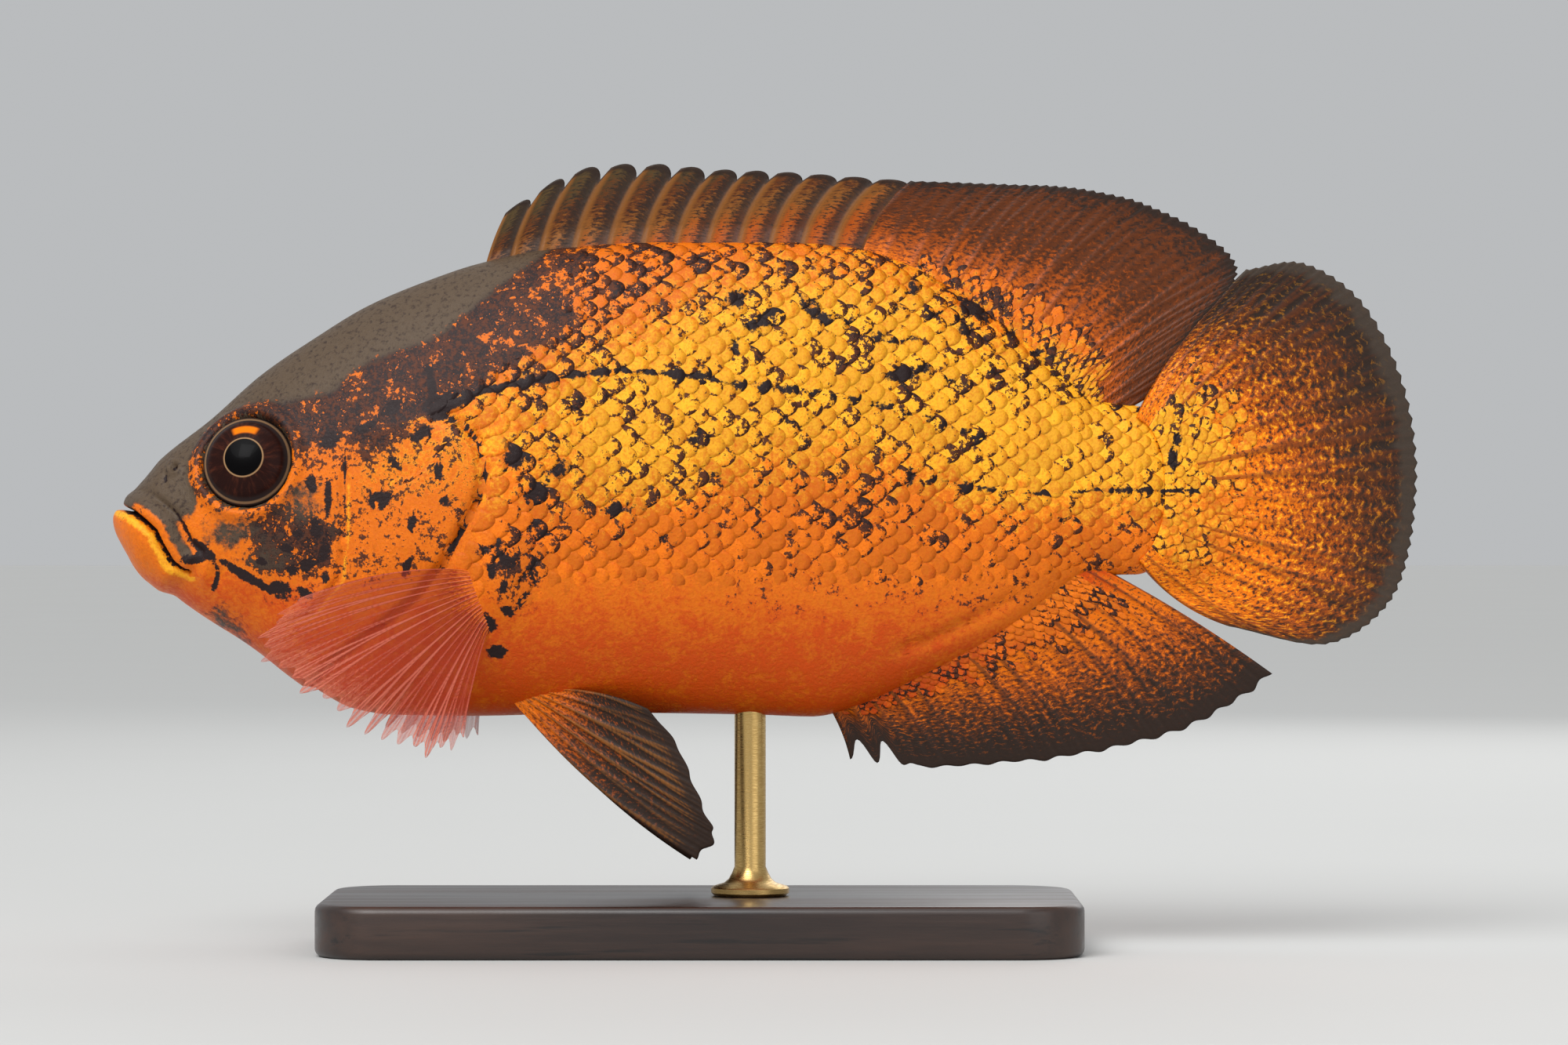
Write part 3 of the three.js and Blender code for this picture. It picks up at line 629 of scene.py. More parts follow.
def flesh(tones):
    """Skin and scales share one material, so the markings run on from one to the other."""
    paint = Paint("oscar_flesh", tones.orange, Specular_IOR_Level=0.2, Coat_Weight=0.03,
                  Coat_Roughness=0.25)
    dark, grey, red, marble = paint.attribute("Pigment")
    yellow, edge, chance, away = paint.attribute("Coat")
    blob = paint.noise(330, 4)
    fleck = paint.noise(1350, 5, roughness=0.7)
    grain = paint.noise(2600, 2)
    swirl, speck = paint.centred(blob), paint.centred(fleck)

    def ragged(share, coarse, fine):
        """A share that two noises move up and down, so that its border is broken."""
        return paint.add(paint.add(share, swirl, coarse), speck, fine)

    # The yellow share lays the flank's yellow, and also the painted highlight on the lower lip.
    paint.over(tones.yellow, ragged(yellow, 1.1, 1.5), 0.2, 0.8)
    paint.over(tones.red, ragged(red, 1.1, 1.5), 0.2, 0.85)
    shade = paint.step(ragged(chance, 0.9, 0.9), 0.0, 1.0, 0.8, 1.12)
    shade = paint.node("ShaderNodeCombineColor", {"Red": shade, "Green": shade, "Blue": shade})
    paint.base = paint.mix(1.0, paint.base, shade.outputs[0], "MULTIPLY")
    paint.over(tones.red, grain, 0.45, 0.7, 0.0, 0.35)
    rim_tint = paint.times(edge, paint.step(blob, 0.42, 0.6, 0.08, 0.5))
    paint.base = paint.mix(rim_tint, paint.base, tones.red)
    # Dark pigment gathers at the scales' rims first and leaves their middles bright.
    rim = paint.times(paint.centred(away, 0.98), 0.56)
    network = paint.add(paint.add(ragged(marble, 1.45, 1.9), rim), paint.centred(chance), 0.5)
    shown = paint.times(paint.step(network, 0.32, 0.42), paint.step(marble, 0.08, 0.2))
    deep = paint.mix(paint.step(fleck, 0.45, 0.6), tones.black, tones.brown)
    paint.base = paint.mix(shown, paint.base, deep)
    head = paint.mix(paint.step(ragged(grey, 0.35, 0.8), 0.3, 0.8), tones.grey_dark, tones.grey)
    head = paint.mix(paint.step(fleck, 0.5, 0.66, 0.0, 0.7), head, tones.black)
    paint.over(head, ragged(grey, 0.9, 0.7), 0.36, 0.66)
    paint.over(tones.black, paint.add(ragged(dark, 0.75, 1.1), rim, 0.6), 0.36, 0.5)
    paint.bump(paint.add(fleck, grain, 0.35), 0.0002, 0.9)
    return paint.finish(fleck, 0.3, 0.7, 0.34, 0.52)


def fin_skin(name, stops, ray, speckle, alpha=1.0, ray_count=17, tilt=0.0, margin=None,
             shadow=0.0):
    """Fin membrane: bands of colour from the root to the margin, broken along the rays.
    ray is the rays' tone and its share, and speckle a dark and a light tone and their share.
    tilt shifts the bands outwards from the fin's first ray to its last, and shadow is how far
    each membrane darkens in its rear half. margin is where a last tone starts, and the tone."""
    paint = Paint(name, Specular_IOR_Level=0.14, Coat_Weight=0.02, Coat_Roughness=0.3)
    across, along, ridge, _ = paint.attribute("Fin")
    streaks = paint.vector(paint.times(across, ray_count * 2.2), paint.times(along, 3.2))
    specks = paint.vector(paint.times(across, ray_count * 4.0), paint.times(along, 44.0))
    streak = paint.centred(paint.noise(1.0, 3, streaks))
    speck = paint.noise(1.0, 4, specks, 0.7)
    scatter = paint.centred(speck)
    shifted = paint.add(along, paint.math("SUBTRACT", 0.5, across), tilt)
    band = paint.add(paint.add(shifted, streak, 0.5), scatter, 1.1)
    ramp = paint.node("ShaderNodeValToRGB", {"Fac": band})
    elements = ramp.color_ramp.elements
    while len(elements) < len(stops):
        elements.new(0.5)
    for element, (position, tone) in zip(elements, stops):
        element.position = position
        element.color = (*tone, 1)
    dark, light, share = speckle
    inner = paint.step(shifted, 0.95, 0.4, 0.15, 1.0)
    flecks = paint.times(paint.step(speck, 0.46, 0.36, 0.0, share), inner)
    paint.base = paint.mix(flecks, ramp.outputs["Color"], light)
    paint.over(dark, speck, 0.53, 0.6, 0.0, share)
    if shadow:
        place_in = paint.math("FRACT", paint.times(across, ray_count - 1.0))
        paint.over(dark, paint.add(place_in, scatter, 1.4), 0.3, 0.62, 0.0, shadow)
    ray_tone, ray_share = ray
    paint.over(ray_tone, ridge, 0.25, 0.95, 0.0, ray_share)
    if margin:
        start, tone = margin
        paint.over(tone, paint.add(along, streak, 0.12), start - 0.02, start + 0.03, 0.0, 0.92)
    paint.bump(paint.noise(1400, 3), 0.0001, 0.6)
    if alpha < 1:
        root = paint.step(along, 0.0, 0.22, 1.0, alpha)
        body = paint.math("MAXIMUM", root, paint.step(ridge, 0.2, 0.9, alpha, 0.8))
        paint.feed(paint.shader.inputs["Alpha"], body)
    return paint.finish(speck, 0.3, 0.7, 0.36, 0.55)


def eye_gloss(tones):
    """Pupil, its pale ring, the red-brown iris with a painted highlight in golden orange across its
    top, and the slate outer ring.
    """
    paint = Paint("oscar_eye", Specular_IOR_Level=0.04, Coat_Weight=0.035, Coat_Roughness=0.02)
    away, cosine, sine, _ = paint.attribute("Eye")
    ray = paint.vector(paint.times(cosine, 9.0), paint.times(sine, 9.0), paint.times(away, 2.0))
    flecks = paint.noise(1.4, 4, ray, 0.7)
    iris = paint.mix(paint.step(flecks, 0.45, 0.8), tones.iris, tones.iris_light)
    # Painted highlight: a band of orange across the top of the iris, straight above the pupil.
    arc = paint.times(paint.step(sine, 0.94, 0.975), paint.between(away, (0.53, 0.59), (0.75, 0.69)))
    paint.base = paint.mix(arc, iris, tones.orange)
    paint.over(tones.eye_ring, away, 0.45, 0.43)
    paint.over(tones.pupil, away, 0.42, 0.4)
    paint.over(tones.slate, away, 0.80, 0.86)
    rim = paint.between(away, (0.885, 0.91), (0.955, 0.93))
    paint.base = paint.mix(paint.times(rim, 0.6), paint.base, tones.eye_ring)
    paint.over(tones.pupil, away, 0.96, 0.99)
    return paint.finish(away, 0.0, 1.0, EYE_ROUGHNESS, EYE_ROUGHNESS)


def stained_wood(tones):
    paint = Paint("stand_wood", tones.wood_dark, Specular_IOR_Level=0.5, Coat_Weight=0.25,
                  Coat_Roughness=0.2)
    turned = paint.node("ShaderNodeMapping", {"Vector": paint.place(), "Scale": (9, 160, 160)})
    grain = paint.noise(1.0, 6, turned.outputs[0], 0.7)
    pores = paint.noise(3.2, 4, turned.outputs[0], 0.6)
    paint.over(tones.wood, grain, 0.35, 0.7)
    paint.over(tones.pupil, pores, 0.58, 0.68, 0.0, 0.7)
    paint.bump(grain, 0.00015, 0.5)
    return paint.finish(grain, 0.3, 0.7, 0.3, 0.5)


def satin_brass(tones):
    paint = Paint("stand_brass", tones.brass, Metallic=1.0)
    turned = paint.node("ShaderNodeMapping", {"Vector": paint.place(), "Scale": (900, 900, 12000)})
    lines = paint.noise(1.0, 3, turned.outputs[0])
    paint.over(tones.brass_dark, lines, 0.3, 0.7)
    paint.bump(lines, 0.00003, 0.4)
    return paint.finish(lines, 0.3, 0.7, 0.22, 0.4)


# Fins


def curve_through(points, shares):
    """A smooth curve through points at equal steps, read at shares of it."""
    points = np.array(points, float)
    count = len(points)
    ends = [2 * points[:1] - points[1:2], points, 2 * points[-1:] - points[-2:-1]]
    padded = np.vstack(ends)
    place_on = np.clip(shares, 0, 1) * (count - 1)
    i = np.minimum(place_on.astype(int), count - 2)
    w = (place_on - i)[..., None]
    a, b, c, d = (padded[i + k] for k in range(4))
    start, end = (c - a) / 2, (d - b) / 2
    return (
        (2 * b - 2 * c + start + end) * w**3 + (-3 * b + 3 * c - 2 * start - end) * w**2
        + start * w + b
    )


def midline_guides(rays):
    """Guide rays on the middle plane: root, tip, and the offset of the ray's middle."""
    guides = []
    for root_x, root_z, tip_x, tip_z, bow in rays:
        lean = (-bow * (tip_z - root_z), 0, bow * (tip_x - root_x))
        guides.append(((root_x, 0, root_z), (tip_x, 0, tip_z), lean))
    return guides


def fin_surface(guides):
    roots, tips, bows = zip(*guides)

    def at(u, v):
        root, tip, bow = (curve_through(key, u) for key in (roots, tips, bows))
        middle = (root + tip) / 2 + 2 * bow
        v = v[..., None]
        return root * (1 - v) ** 2 + 2 * middle * v * (1 - v) + tip * v**2

    return at


def ray_relief(u, v, rays, branches):
    """Ridge height, 0 to 1, at u across and v along a fin: rays that fork outwards, with joints."""
    gap = u * (rays - 1)
    off = np.abs(gap - np.round(gap))
    if not branches:
        return bump(off, SPINE_WIDTH)
    first = 0.23 * ease(v, 0.3, 0.85)
    second = 0.11 * ease(v, 0.6, 0.98)
    forked = np.abs(np.abs(off - first) - second)
    strength = 0.6 + 0.4 * np.sin(2.4 * np.round(gap) + 0.7) ** 2
    width = 0.17 - 0.1 * ease(v, 0.25, 0.95)
    joint = (0.5 + 0.5 * np.cos(2 * np.pi * RAY_JOINTS * v)) ** 4
    return bump(forked, width) * (1 - 0.28 * ease(v, 0.3, 0.5) * joint) * strength


def fin_frame(at, u, span):
    """Points on a fin's middle surface, and the unit normals there."""
    step = 1e-3
    across = at(np.minimum(u + step, 1), span) - at(np.maximum(u - step, 0), span)
    outward = at(u, span + step) - at(u, span - step)
    normal = np.cross(across, outward)
    return at(u, span), normal / np.linalg.norm(normal, axis=-1, keepdims=True)


def fin_half(v, ridge, sizes, lift, flesh_half, flesh_share):
    """Half a fin's thickness: membrane, flesh at the root, and rays that rise out of it."""
    flesh = 1 - ease(v, 0, flesh_share)
    rays = ridge * (lift[0] + (lift[1] - lift[0]) * v) * (1 - 0.75 * flesh)
    return sizes.membrane_half * (1 - 0.45 * v) + flesh_half * flesh + rays


def build_fin(name, node, material, slot, guides, rays, sizes, lift, reach, branches=True,
              flesh_half=1.3, flesh_share=0.22, wave=0.0, cells_along=110):
    """A thin closed fin: flesh at its root, ridged rays, and a margin worn between the rays.
    lift is the rays' height at the root and at the margin, and reach the fin's length across it."""
    mesh = finish_mesh(slab(FIN_CELLS * (rays - 1), cells_along), name)
    grid = coordinates(mesh)
    u, v, side = (grid[:, 0] + 1) / 2, (grid[:, 1] + 1) / 2, grid[:, 2] * 2 - 1
    at = fin_surface(guides)
    span = v * reach(u)
    ridge = ray_relief(u, v, rays, branches)
    half = fin_half(v, ridge, sizes, lift, flesh_half, flesh_share)
    rim = np.clip((1 - v) / 0.03, 0, 1)
    edge = np.clip(np.minimum(u, 1 - u) * (rays - 1) / 0.25, 0, 1)
    half *= (0.15 + 0.85 * np.sqrt(rim * (2 - rim))) * (0.25 + 0.75 * np.sqrt(edge * (2 - edge)))
    middle, normal = fin_frame(at, u, span)
    sway = wave * v**2.5 * np.sin(u * (rays - 1) * 0.9 + v * 2.2)
    set_attribute(mesh, "Fin", np.stack([u, v, ridge, np.ones_like(u)], axis=-1))
    points = middle + normal * (side * half + sway)[:, None]
    return add_closed_piece(name, mesh, points, material, slot, node)


def worn(rays, notch, seed, jitter=0.012, tips=1):
    """A margin that dips between the tips of the rays by notch, a number or a function across
    the fin, and wavers from ray to ray."""
    lengths = 1 - jitter * np.random.default_rng(seed).random(rays + 1)

    def reach(u):
        gap = u * (rays - 1)
        i = np.minimum(gap.astype(int), rays - 1)
        w = gap - i
        dip = (notch(u) if callable(notch) else notch) * np.sin(np.pi * w * tips) ** 2
        return lengths[i] * (1 - w) + lengths[i + 1] * w - dip

    return reach


def lobed(rays, notch):
    """The spiny fin's margin: a lobe behind each spine that drops before the next."""

    def reach(u):
        gap = u * (rays - 1)
        w = gap - np.floor(gap + 1e-9)
        lobe = np.sqrt(1 - ((np.minimum(w, 0.93) - 0.32) / 0.72) ** 2)
        lobe += ease(w, 0.93, 1.0) * (0.9 - lobe)
        return 1 - notch(u) * (1 - lobe)

    return reach


# A middle fin's guide rays: root x and z, tip x and z, and how far the middle bows.
DORSAL_SPINES = midline_guides([
    (56.3, 31.8, 60.2, 43, 0.04), (65, 33.6, 71, 49.1, 0.06), (75.6, 34.6, 82, 50.1, 0.07),
    (85.8, 35, 92.3, 49.3, 0.08), (95.6, 35, 102, 48.9, 0.09), (105.2, 34.8, 112.3, 48.2, 0.1),
    (114.5, 34, 123.1, 47.4, 0.1),
])
DORSAL_RAYS = midline_guides([
    (113.5, 34, 122.2, 47.5, 0.1), (124.4, 30.4, 137.6, 47.1, 0.07),
    (132.6, 26.2, 150.4, 46.1, 0.06), (140, 20.6, 162.6, 42.3, 0.05),
    (144.6, 15.8, 172.6, 34.3, 0.04), (147, 11.5, 165.8, 24.8, 0.02), (149, 8.6, 159.2, 14.5, 0),
])
ANAL_RAYS = midline_guides([
    (108.6, -31.8, 112.9, -41.6, 0.05), (116.4, -29.2, 124, -42.7, 0.06),
    (124.2, -26, 135.6, -42.3, 0.06), (131.8, -22.2, 147.2, -41.2, 0.05),
    (139, -17.4, 158.6, -38.9, 0.05), (144.8, -13.2, 169.4, -34.9, 0.05),
    (149.4, -10.8, 178.2, -28.6, 0.02),
])
TAIL_RAYS = midline_guides([
    (156.6, 11.2, 173.8, 34, 0.045), (158.6, 9.6, 182.6, 35, 0.04), (160, 7.2, 191.4, 29.2, 0.02),
    (160.8, 4.3, 197.6, 17.6, 0.01), (161, 1.1, 200, 4.2, 0), (161, -2.2, 199.2, -8.4, 0),
    (160.4, -5.4, 195.2, -18.2, -0.01), (159, -8.6, 186, -23.8, -0.03),
    (157, -11, 171.2, -21, -0.08),
])
# How far out the scales run on a fin, as a share of its rays, with its columns and rows of
# scales, and the flesh under them: half its thickness at the root and the share it covers.
TAIL_COAT = {"reach": 0.38, "columns": 17, "rows": 12, "flesh_half": 2.3, "flesh_share": 0.42,
             "marble": 0.22, "yellow": 0.6}
DORSAL_COAT = {"reach": 0.3, "columns": 32, "rows": 6, "flesh_half": 1.3, "flesh_share": 0.4,
               "marble": 0.44, "yellow": 0.4}
ANAL_COAT = {"reach": 0.36, "columns": 34, "rows": 8, "flesh_half": 1.6, "flesh_share": 0.5,
             "marble": 0.36, "yellow": 0.3}
# A paired fin's guide ray: root x and z on the flank, tip, and the offset of its middle.
PECTORAL_RAYS = [
    ((55.4, -12.2), (28.4, 29.4, -17.2), (0.4, 1.6, 1.9)),
    ((55.9, -13.7), (24, 31, -22.6), (0.3, 1.8, 1.4)),
    ((56.4, -15), (26.4, 30.8, -28.2), (0, 1.8, 0.8)),
    ((56.9, -16.3), (33.4, 29.2, -33.6), (-0.2, 1.6, 0.5)),
    ((57.3, -17.5), (41, 26.8, -38.6), (-0.4, 1.4, 0.3)),
    ((57.7, -18.8), (48.6, 24, -40.6), (-0.5, 1.2, 0.2)),
    ((58.1, -20.2), (54.6, 20.6, -38.8), (-0.5, 1, 0.2)),
]
PELVIC_RAYS = [
    ((61.4, -32.3), (89.6, 12.2, -56.2), (-0.8, 0.6, -1.5)),
    ((62.5, -31.9), (92.6, 12.4, -53.4), (-0.5, 0.6, -1)),
    ((63.6, -31.5), (91.4, 12, -49.6), (-0.2, 0.6, -0.4)),
    ((64.7, -31.1), (89.2, 11.4, -44.2), (0, 0.6, 0)),
    ((65.8, -30.7), (86.4, 11, -38.4), (0.2, 0.6, 0.5)),
    ((66.9, -30.3), (82, 11, -33.4), (0.4, 0.6, 0.9)),
]
# The right pelvic fin hangs so many degrees lower than the left one.
FAR_PELVIC_DROP = 3


def flank_guides(rays, side, sink):
    guides = []
    for (root_x, root_z), (tip_x, tip_y, tip_z), (bow_x, bow_y, bow_z) in rays:
        y = half_width_in_side_view(root_x, root_z) - sink
        guides.append(((root_x, side * y, root_z), (tip_x, side * tip_y, tip_z),
                       (bow_x, side * bow_y, bow_z)))
    return guides


def lowered(guides, degrees):
    """The same guides turned about their first root, so that the fin hangs lower."""
    pivot = np.array(guides[0][0]) * [1, 0, 1]
    turn = np.array(Matrix.Rotation(math.radians(degrees), 3, "Y"))
    return [
        (turn @ (np.array(root) - pivot) + pivot, turn @ (np.array(tip) - pivot) + pivot,
         turn @ np.array(bow))
        for root, tip, bow in guides
    ]


# Settings


def length(name, default, description):
    """A size in millimetres."""
    return FloatProperty(name=name, default=default, description=description, min=0.0)


def tone(name, red, green, blue, description="Base colour"):
    """A colour given as screen values from 0 to 255 and kept as linear light."""
    linear = [(c / 255 / 12.92) if c <= 10 else ((c / 255 + 0.055) / 1.055) ** 2.4
              for c in (red, green, blue)]
    return FloatVectorProperty(name=name, default=linear, description=description,
                               subtype="COLOR", size=3, min=0.0, max=1.0)


class OscarSizes(bpy.types.PropertyGroup):
    """Sizes of the oscar's surface, in millimetres."""

    skin_rings: IntProperty(name="Skin rings", default=380, description="Rings along the body")
    skin_sides: IntProperty(name="Skin sides", default=250, description="Faces round the body")
    lip_height: length("Lip height", 1.35, "How far the lips stand out")
    orbit_height: length("Orbit height", 0.95, "How far the rim round the eye stands out")
    eye_radius: length("Eye radius", 7.1, "Radius of the eyeball's visible disc")
    scale_spacing: length("Scale spacing", 3.1, "From one scale to the next, back to belly")
    scale_exposure: length("Scale exposure", 1.9, "How much of a scale shows, front to rear")
    scale_lift: length("Scale lift", 0.14, "How far a scale's rear edge stands out")
    scale_thickness: length("Scale thickness", 0.08, "Thickness of one scale")
    membrane_half: length("Membrane half thickness", 0.2, "Between the rays of a fin")


class OscarTones(bpy.types.PropertyGroup):
    """Colours of the oscar, its eyes and its stand."""

    yellow: tone("Yellow flank", 252, 176, 32)
    orange: tone("Orange", 232, 116, 8)
    red: tone("Red belly", 200, 72, 4)
    brown: tone("Marbling", 88, 44, 22)
    black: tone("Blotches", 36, 22, 22)
    grey: tone("Forehead", 86, 70, 54)
    grey_dark: tone("Nape", 60, 46, 38)
    fin_dark: tone("Fin margin", 44, 32, 26)
    fin_brown: tone("Fin brown", 92, 46, 20)
    fin_rust: tone("Fin rust", 170, 78, 16)
    fin_edge: tone("Tail fin margin", 64, 54, 46)
    fin_gold: tone("Pelvic fin rays", 132, 82, 34)
    fin_olive: tone("Spiny fin", 78, 62, 36)
    pink: tone("Pectoral membrane", 168, 54, 40)
    pink_ray: tone("Pectoral rays", 206, 116, 94)
    iris: tone("Iris", 36, 17, 14)
    iris_light: tone("Iris flecks", 74, 36, 24)
    eye_ring: tone("Ring round the pupil", 150, 116, 82)
    pupil: tone("Pupil", 4, 3, 4)
    slate: tone("Outer ring of the eye", 46, 37, 36)
    wood: tone("Stand wood", 58, 38, 28)
    wood_dark: tone("Stand wood grain", 34, 22, 18)
    brass: tone("Stand brass", 214, 180, 116)
    brass_dark: tone("Brass lines", 180, 146, 88)


class OscarStage(bpy.types.PropertyGroup):
    """The camera, floor and lights."""

    camera_distance: FloatProperty(name="Camera distance", default=0.9, unit="LENGTH",
                                   description="From the camera to the fish's middle plane")
    view_width: FloatProperty(name="View width", default=0.2408, unit="LENGTH",
                              description="Width of the view at the fish's middle plane")
    view_x: FloatProperty(name="View centre", default=0.0027, unit="LENGTH",
                          description="Place of the view's centre along the fish")
    view_z: FloatProperty(name="View height", default=0.0653, unit="LENGTH",
                          description="Height of the view's centre")
    floor: tone("Floor", 196, 196, 194)
    light: FloatProperty(name="Light", default=1.0, description="Strength of all the lamps")


# Operators


class OSCAR_OT_skin(bpy.types.Operator):
    """Builds the body's skin with its lips, nostrils, orbits and gill covers"""

    bl_idname = "oscar.skin"
    bl_label = "Skin"

    def execute(self, context):
        sizes, tones = context.scene.oscar_sizes, context.scene.oscar_tones
        bm = bmesh.new()
        bmesh.ops.create_uvsphere(bm, u_segments=sizes.skin_sides, v_segments=sizes.skin_rings,
                                  radius=1)
        mesh = finish_mesh(bm, "oscar_skin")
        ball = coordinates(mesh)
        along = np.arccos(np.clip(ball[:, 2], -1, 1)) / np.pi
        around = np.arctan2(ball[:, 1], ball[:, 0])
        bare = flank(along, around)
        points = bare + flank_normal(along, around) * skin_relief(bare, sizes)[:, None]
        set_coordinates(mesh, place(points))
        shares, yellow = pigment(bare, sizes)
        set_attribute(mesh, "Pigment", shares)
        plain = np.full_like(yellow, 0.5)
        set_attribute(mesh, "Coat", np.stack([yellow, plain * 0, plain, plain + 0.3], axis=-1))
        add_piece("oscar_skin", mesh, flesh(tones), "trunk", "head", "lower_jaw", "trunk",
                  "tail_stalk", "gill_cover_left", "gill_cover_right")
        return {"FINISHED"}


class OSCAR_OT_scales(bpy.types.Operator):
    """Lays the overlapping scales over the gill covers, nape and flanks"""

    bl_idname = "oscar.scales"
    bl_label = "Scales"

    def execute(self, context):
        sizes = context.scene.oscar_sizes
        self.tables()
        roots, bare = self.roots(sizes)
        rear = roots[:, 0] > COAT_SPLIT_X
        for side, word in ((-1, "left"), (1, "right")):
            for part, picked in (("front", ~rear), ("rear", rear)):
                self.coat(f"oscar_scales_{word}_{part}", side, roots[picked], bare[picked], sizes)
        return {"FINISHED"}

    def tables(self):
        """The ways along the skin from mid-side up to the back and down to the belly, at
        stations along the body, and the turns round the body at even shares of each way."""
        self.stations = np.linspace(SNOUT_X + 1, STALK_END_X - 0.1, 300)
        turns = np.linspace(0, np.pi, 361)
        half = len(turns) // 2
        grid = flank(*np.meshgrid(along_of(self.stations), turns, indexing="ij"))
        pieces = np.linalg.norm(np.diff(grid, axis=1), axis=2)
        passed = np.hstack([np.zeros((len(grid), 1)), np.cumsum(pieces, axis=1)])
        self.upward = passed[:, half]
        self.downward = passed[:, -1] - self.upward
        self.shares = np.linspace(0, 1, 200)
        self.up_turns = np.array([
            np.interp(self.shares, (m - p[:half + 1])[::-1] / m, turns[:half + 1][::-1])
            for p, m in zip(passed, self.upward)
        ])
        self.down_turns = np.array([
            np.interp(self.shares, (p[half:] - m) / (p[-1] - m), turns[half:])
            for p, m in zip(passed, self.upward)
        ])

    def turn_at(self, x, rise):
        """The turn round the body at x, rise millimetres above mid-side along the skin."""
        # Places in the tables stay just under the last step, so that there is a next one.
        column = np.interp(x, self.stations, np.arange(len(self.stations)))
        column = np.clip(column, 0, len(self.stations) - 1.001)
        i = column.astype(int)
        w = column - i
        full = np.where(rise > 0, np.interp(x, self.stations, self.upward),
                        np.interp(x, self.stations, self.downward))
        row = np.clip(np.abs(rise) / full, 0, 1) * (len(self.shares) - 1.001)
        j = row.astype(int)
        f = row - j

        def read(table):
            a = table[i, j] * (1 - f) + table[i, j + 1] * f
            b = table[i + 1, j] * (1 - f) + table[i + 1, j + 1] * f
            return a * (1 - w) + b * w

        return np.where(rise > 0, read(self.up_turns), read(self.down_turns))

    def roots(self, sizes):
        """The middles of the scales on one side: x, rise from mid-side, size and chance, and
        their places on the bare body."""
        random = np.random.default_rng(COAT_SEED)
        found = []
        column = 0
        x = 24.0
        while x < STALK_END_X - 1.4:
            shrink = 1 - 0.22 * ease(np.array(x), 120, 160)
            spacing = sizes.scale_spacing * shrink
            top = np.interp(x, self.stations, self.upward) - 0.8
            bottom = -np.interp(x, self.stations, self.downward) + 0.8
            shift = 0.5 * (column % 2)
            rises = (np.arange(math.ceil(bottom / spacing - shift), 80) + shift) * spacing
            found += [(x, rise, shrink) for rise in rises[rises < top]]
            x += sizes.scale_exposure * shrink
            column += 1
        found = np.array(found)
        found[:, :2] += random.normal(0, 0.1, (len(found), 2))
        bare = flank(along_of(found[:, 0]), self.turn_at(found[:, 0], found[:, 1]))
        x, z = bare[:, 0], bare[:, 2]
        gill, share = from_line(x, z, GILL_EDGE)
        cheek, _ = from_line(x, z, CHEEK_EDGE)
        front = np.interp(z, *np.array(FRONT_OF_SCALES).T)
        keep = (x > front) & ((np.abs(gill + 0.3) > 1.5) | (share < 0.1))
        keep &= (np.abs(cheek) > 1.4) | (z > 6)
        pectoral_root = np.hypot((x - 57.6) / 2.4, (z + 16) / 5)
        keep &= pectoral_root > 1
        found, bare = found[keep], bare[keep]
        return np.column_stack([found, random.random(len(found))]), bare

    def coat(self, name, side, roots, bare, sizes):
        mesh, (a, b, face), (disc_x, disc_rise, away) = scale_batch(name, len(roots))
        root_x, root_rise, size, chance = roots.T[..., None]
        size = size * (0.94 + 0.14 * ((chance * 7.3) % 1))
        tilt = 0.5 * (chance * 13.7 % 1 - 0.5)
        plate_x = disc_x * 1.62 * sizes.scale_exposure
        plate_rise = disc_rise * 0.6 * sizes.scale_spacing
        x = root_x + size * (plate_x * np.cos(tilt) - plate_rise * np.sin(tilt))
        rise = root_rise + size * (plate_rise * np.cos(tilt) + plate_x * np.sin(tilt))
        along, turns = along_of(x), self.turn_at(x, rise)
        on_body = flank(along, turns)
        shares, yellow = pigment(on_body, sizes)
        # The scales lie flat on the gill cover, low on the flank, and where the skin is grey or
        # densely marbled.
        gill, _ = from_line(x, on_body[..., 2], GILL_EDGE)
        smooth = np.maximum.reduce([
            shares[..., 1], 0.75 * (1 - ease(gill, -0.5, 0.5)) * (x < 58),
            0.8 * ease(-on_body[..., 2], 2, 18), 0.9 * ease(shares[..., 3], 0.4, 0.7),
        ])
        share = (disc_x + 1) / 2
        crown = 1 - 0.22 * away**6 * (a > 0)
        lift = sizes.scale_lift * (share**1.3 * crown - 0.72 * share * smooth)
        lift = lift - 0.12 + face * sizes.scale_thickness
        raised = lift * (0.8 + 0.4 * chance) + skin_relief(on_body, sizes)
        points = on_body + flank_normal(along, turns) * raised[..., None]
        points[..., 1] *= side
        root_shares, _ = pigment(bare, sizes)
        shares = 0.6 * shares + 0.4 * root_shares[:, None, :]
        # Each scale is a small patch at its root's place on the skin's own unwrap.
        half_turn = 0.24 * self.turn_at(roots[:, 0], roots[:, 1]) / np.pi
        patch_u = 0.02 + 0.96 * along_of(root_x) + SCALE_PATCH * a
        patch_v = (0.01 if side < 0 else 0.51) + half_turn[:, None] + SCALE_PATCH * b
        add_coat(name, mesh, points, shares, (yellow, rear_rim(a, away), chance, away),
                 (patch_u, patch_v))


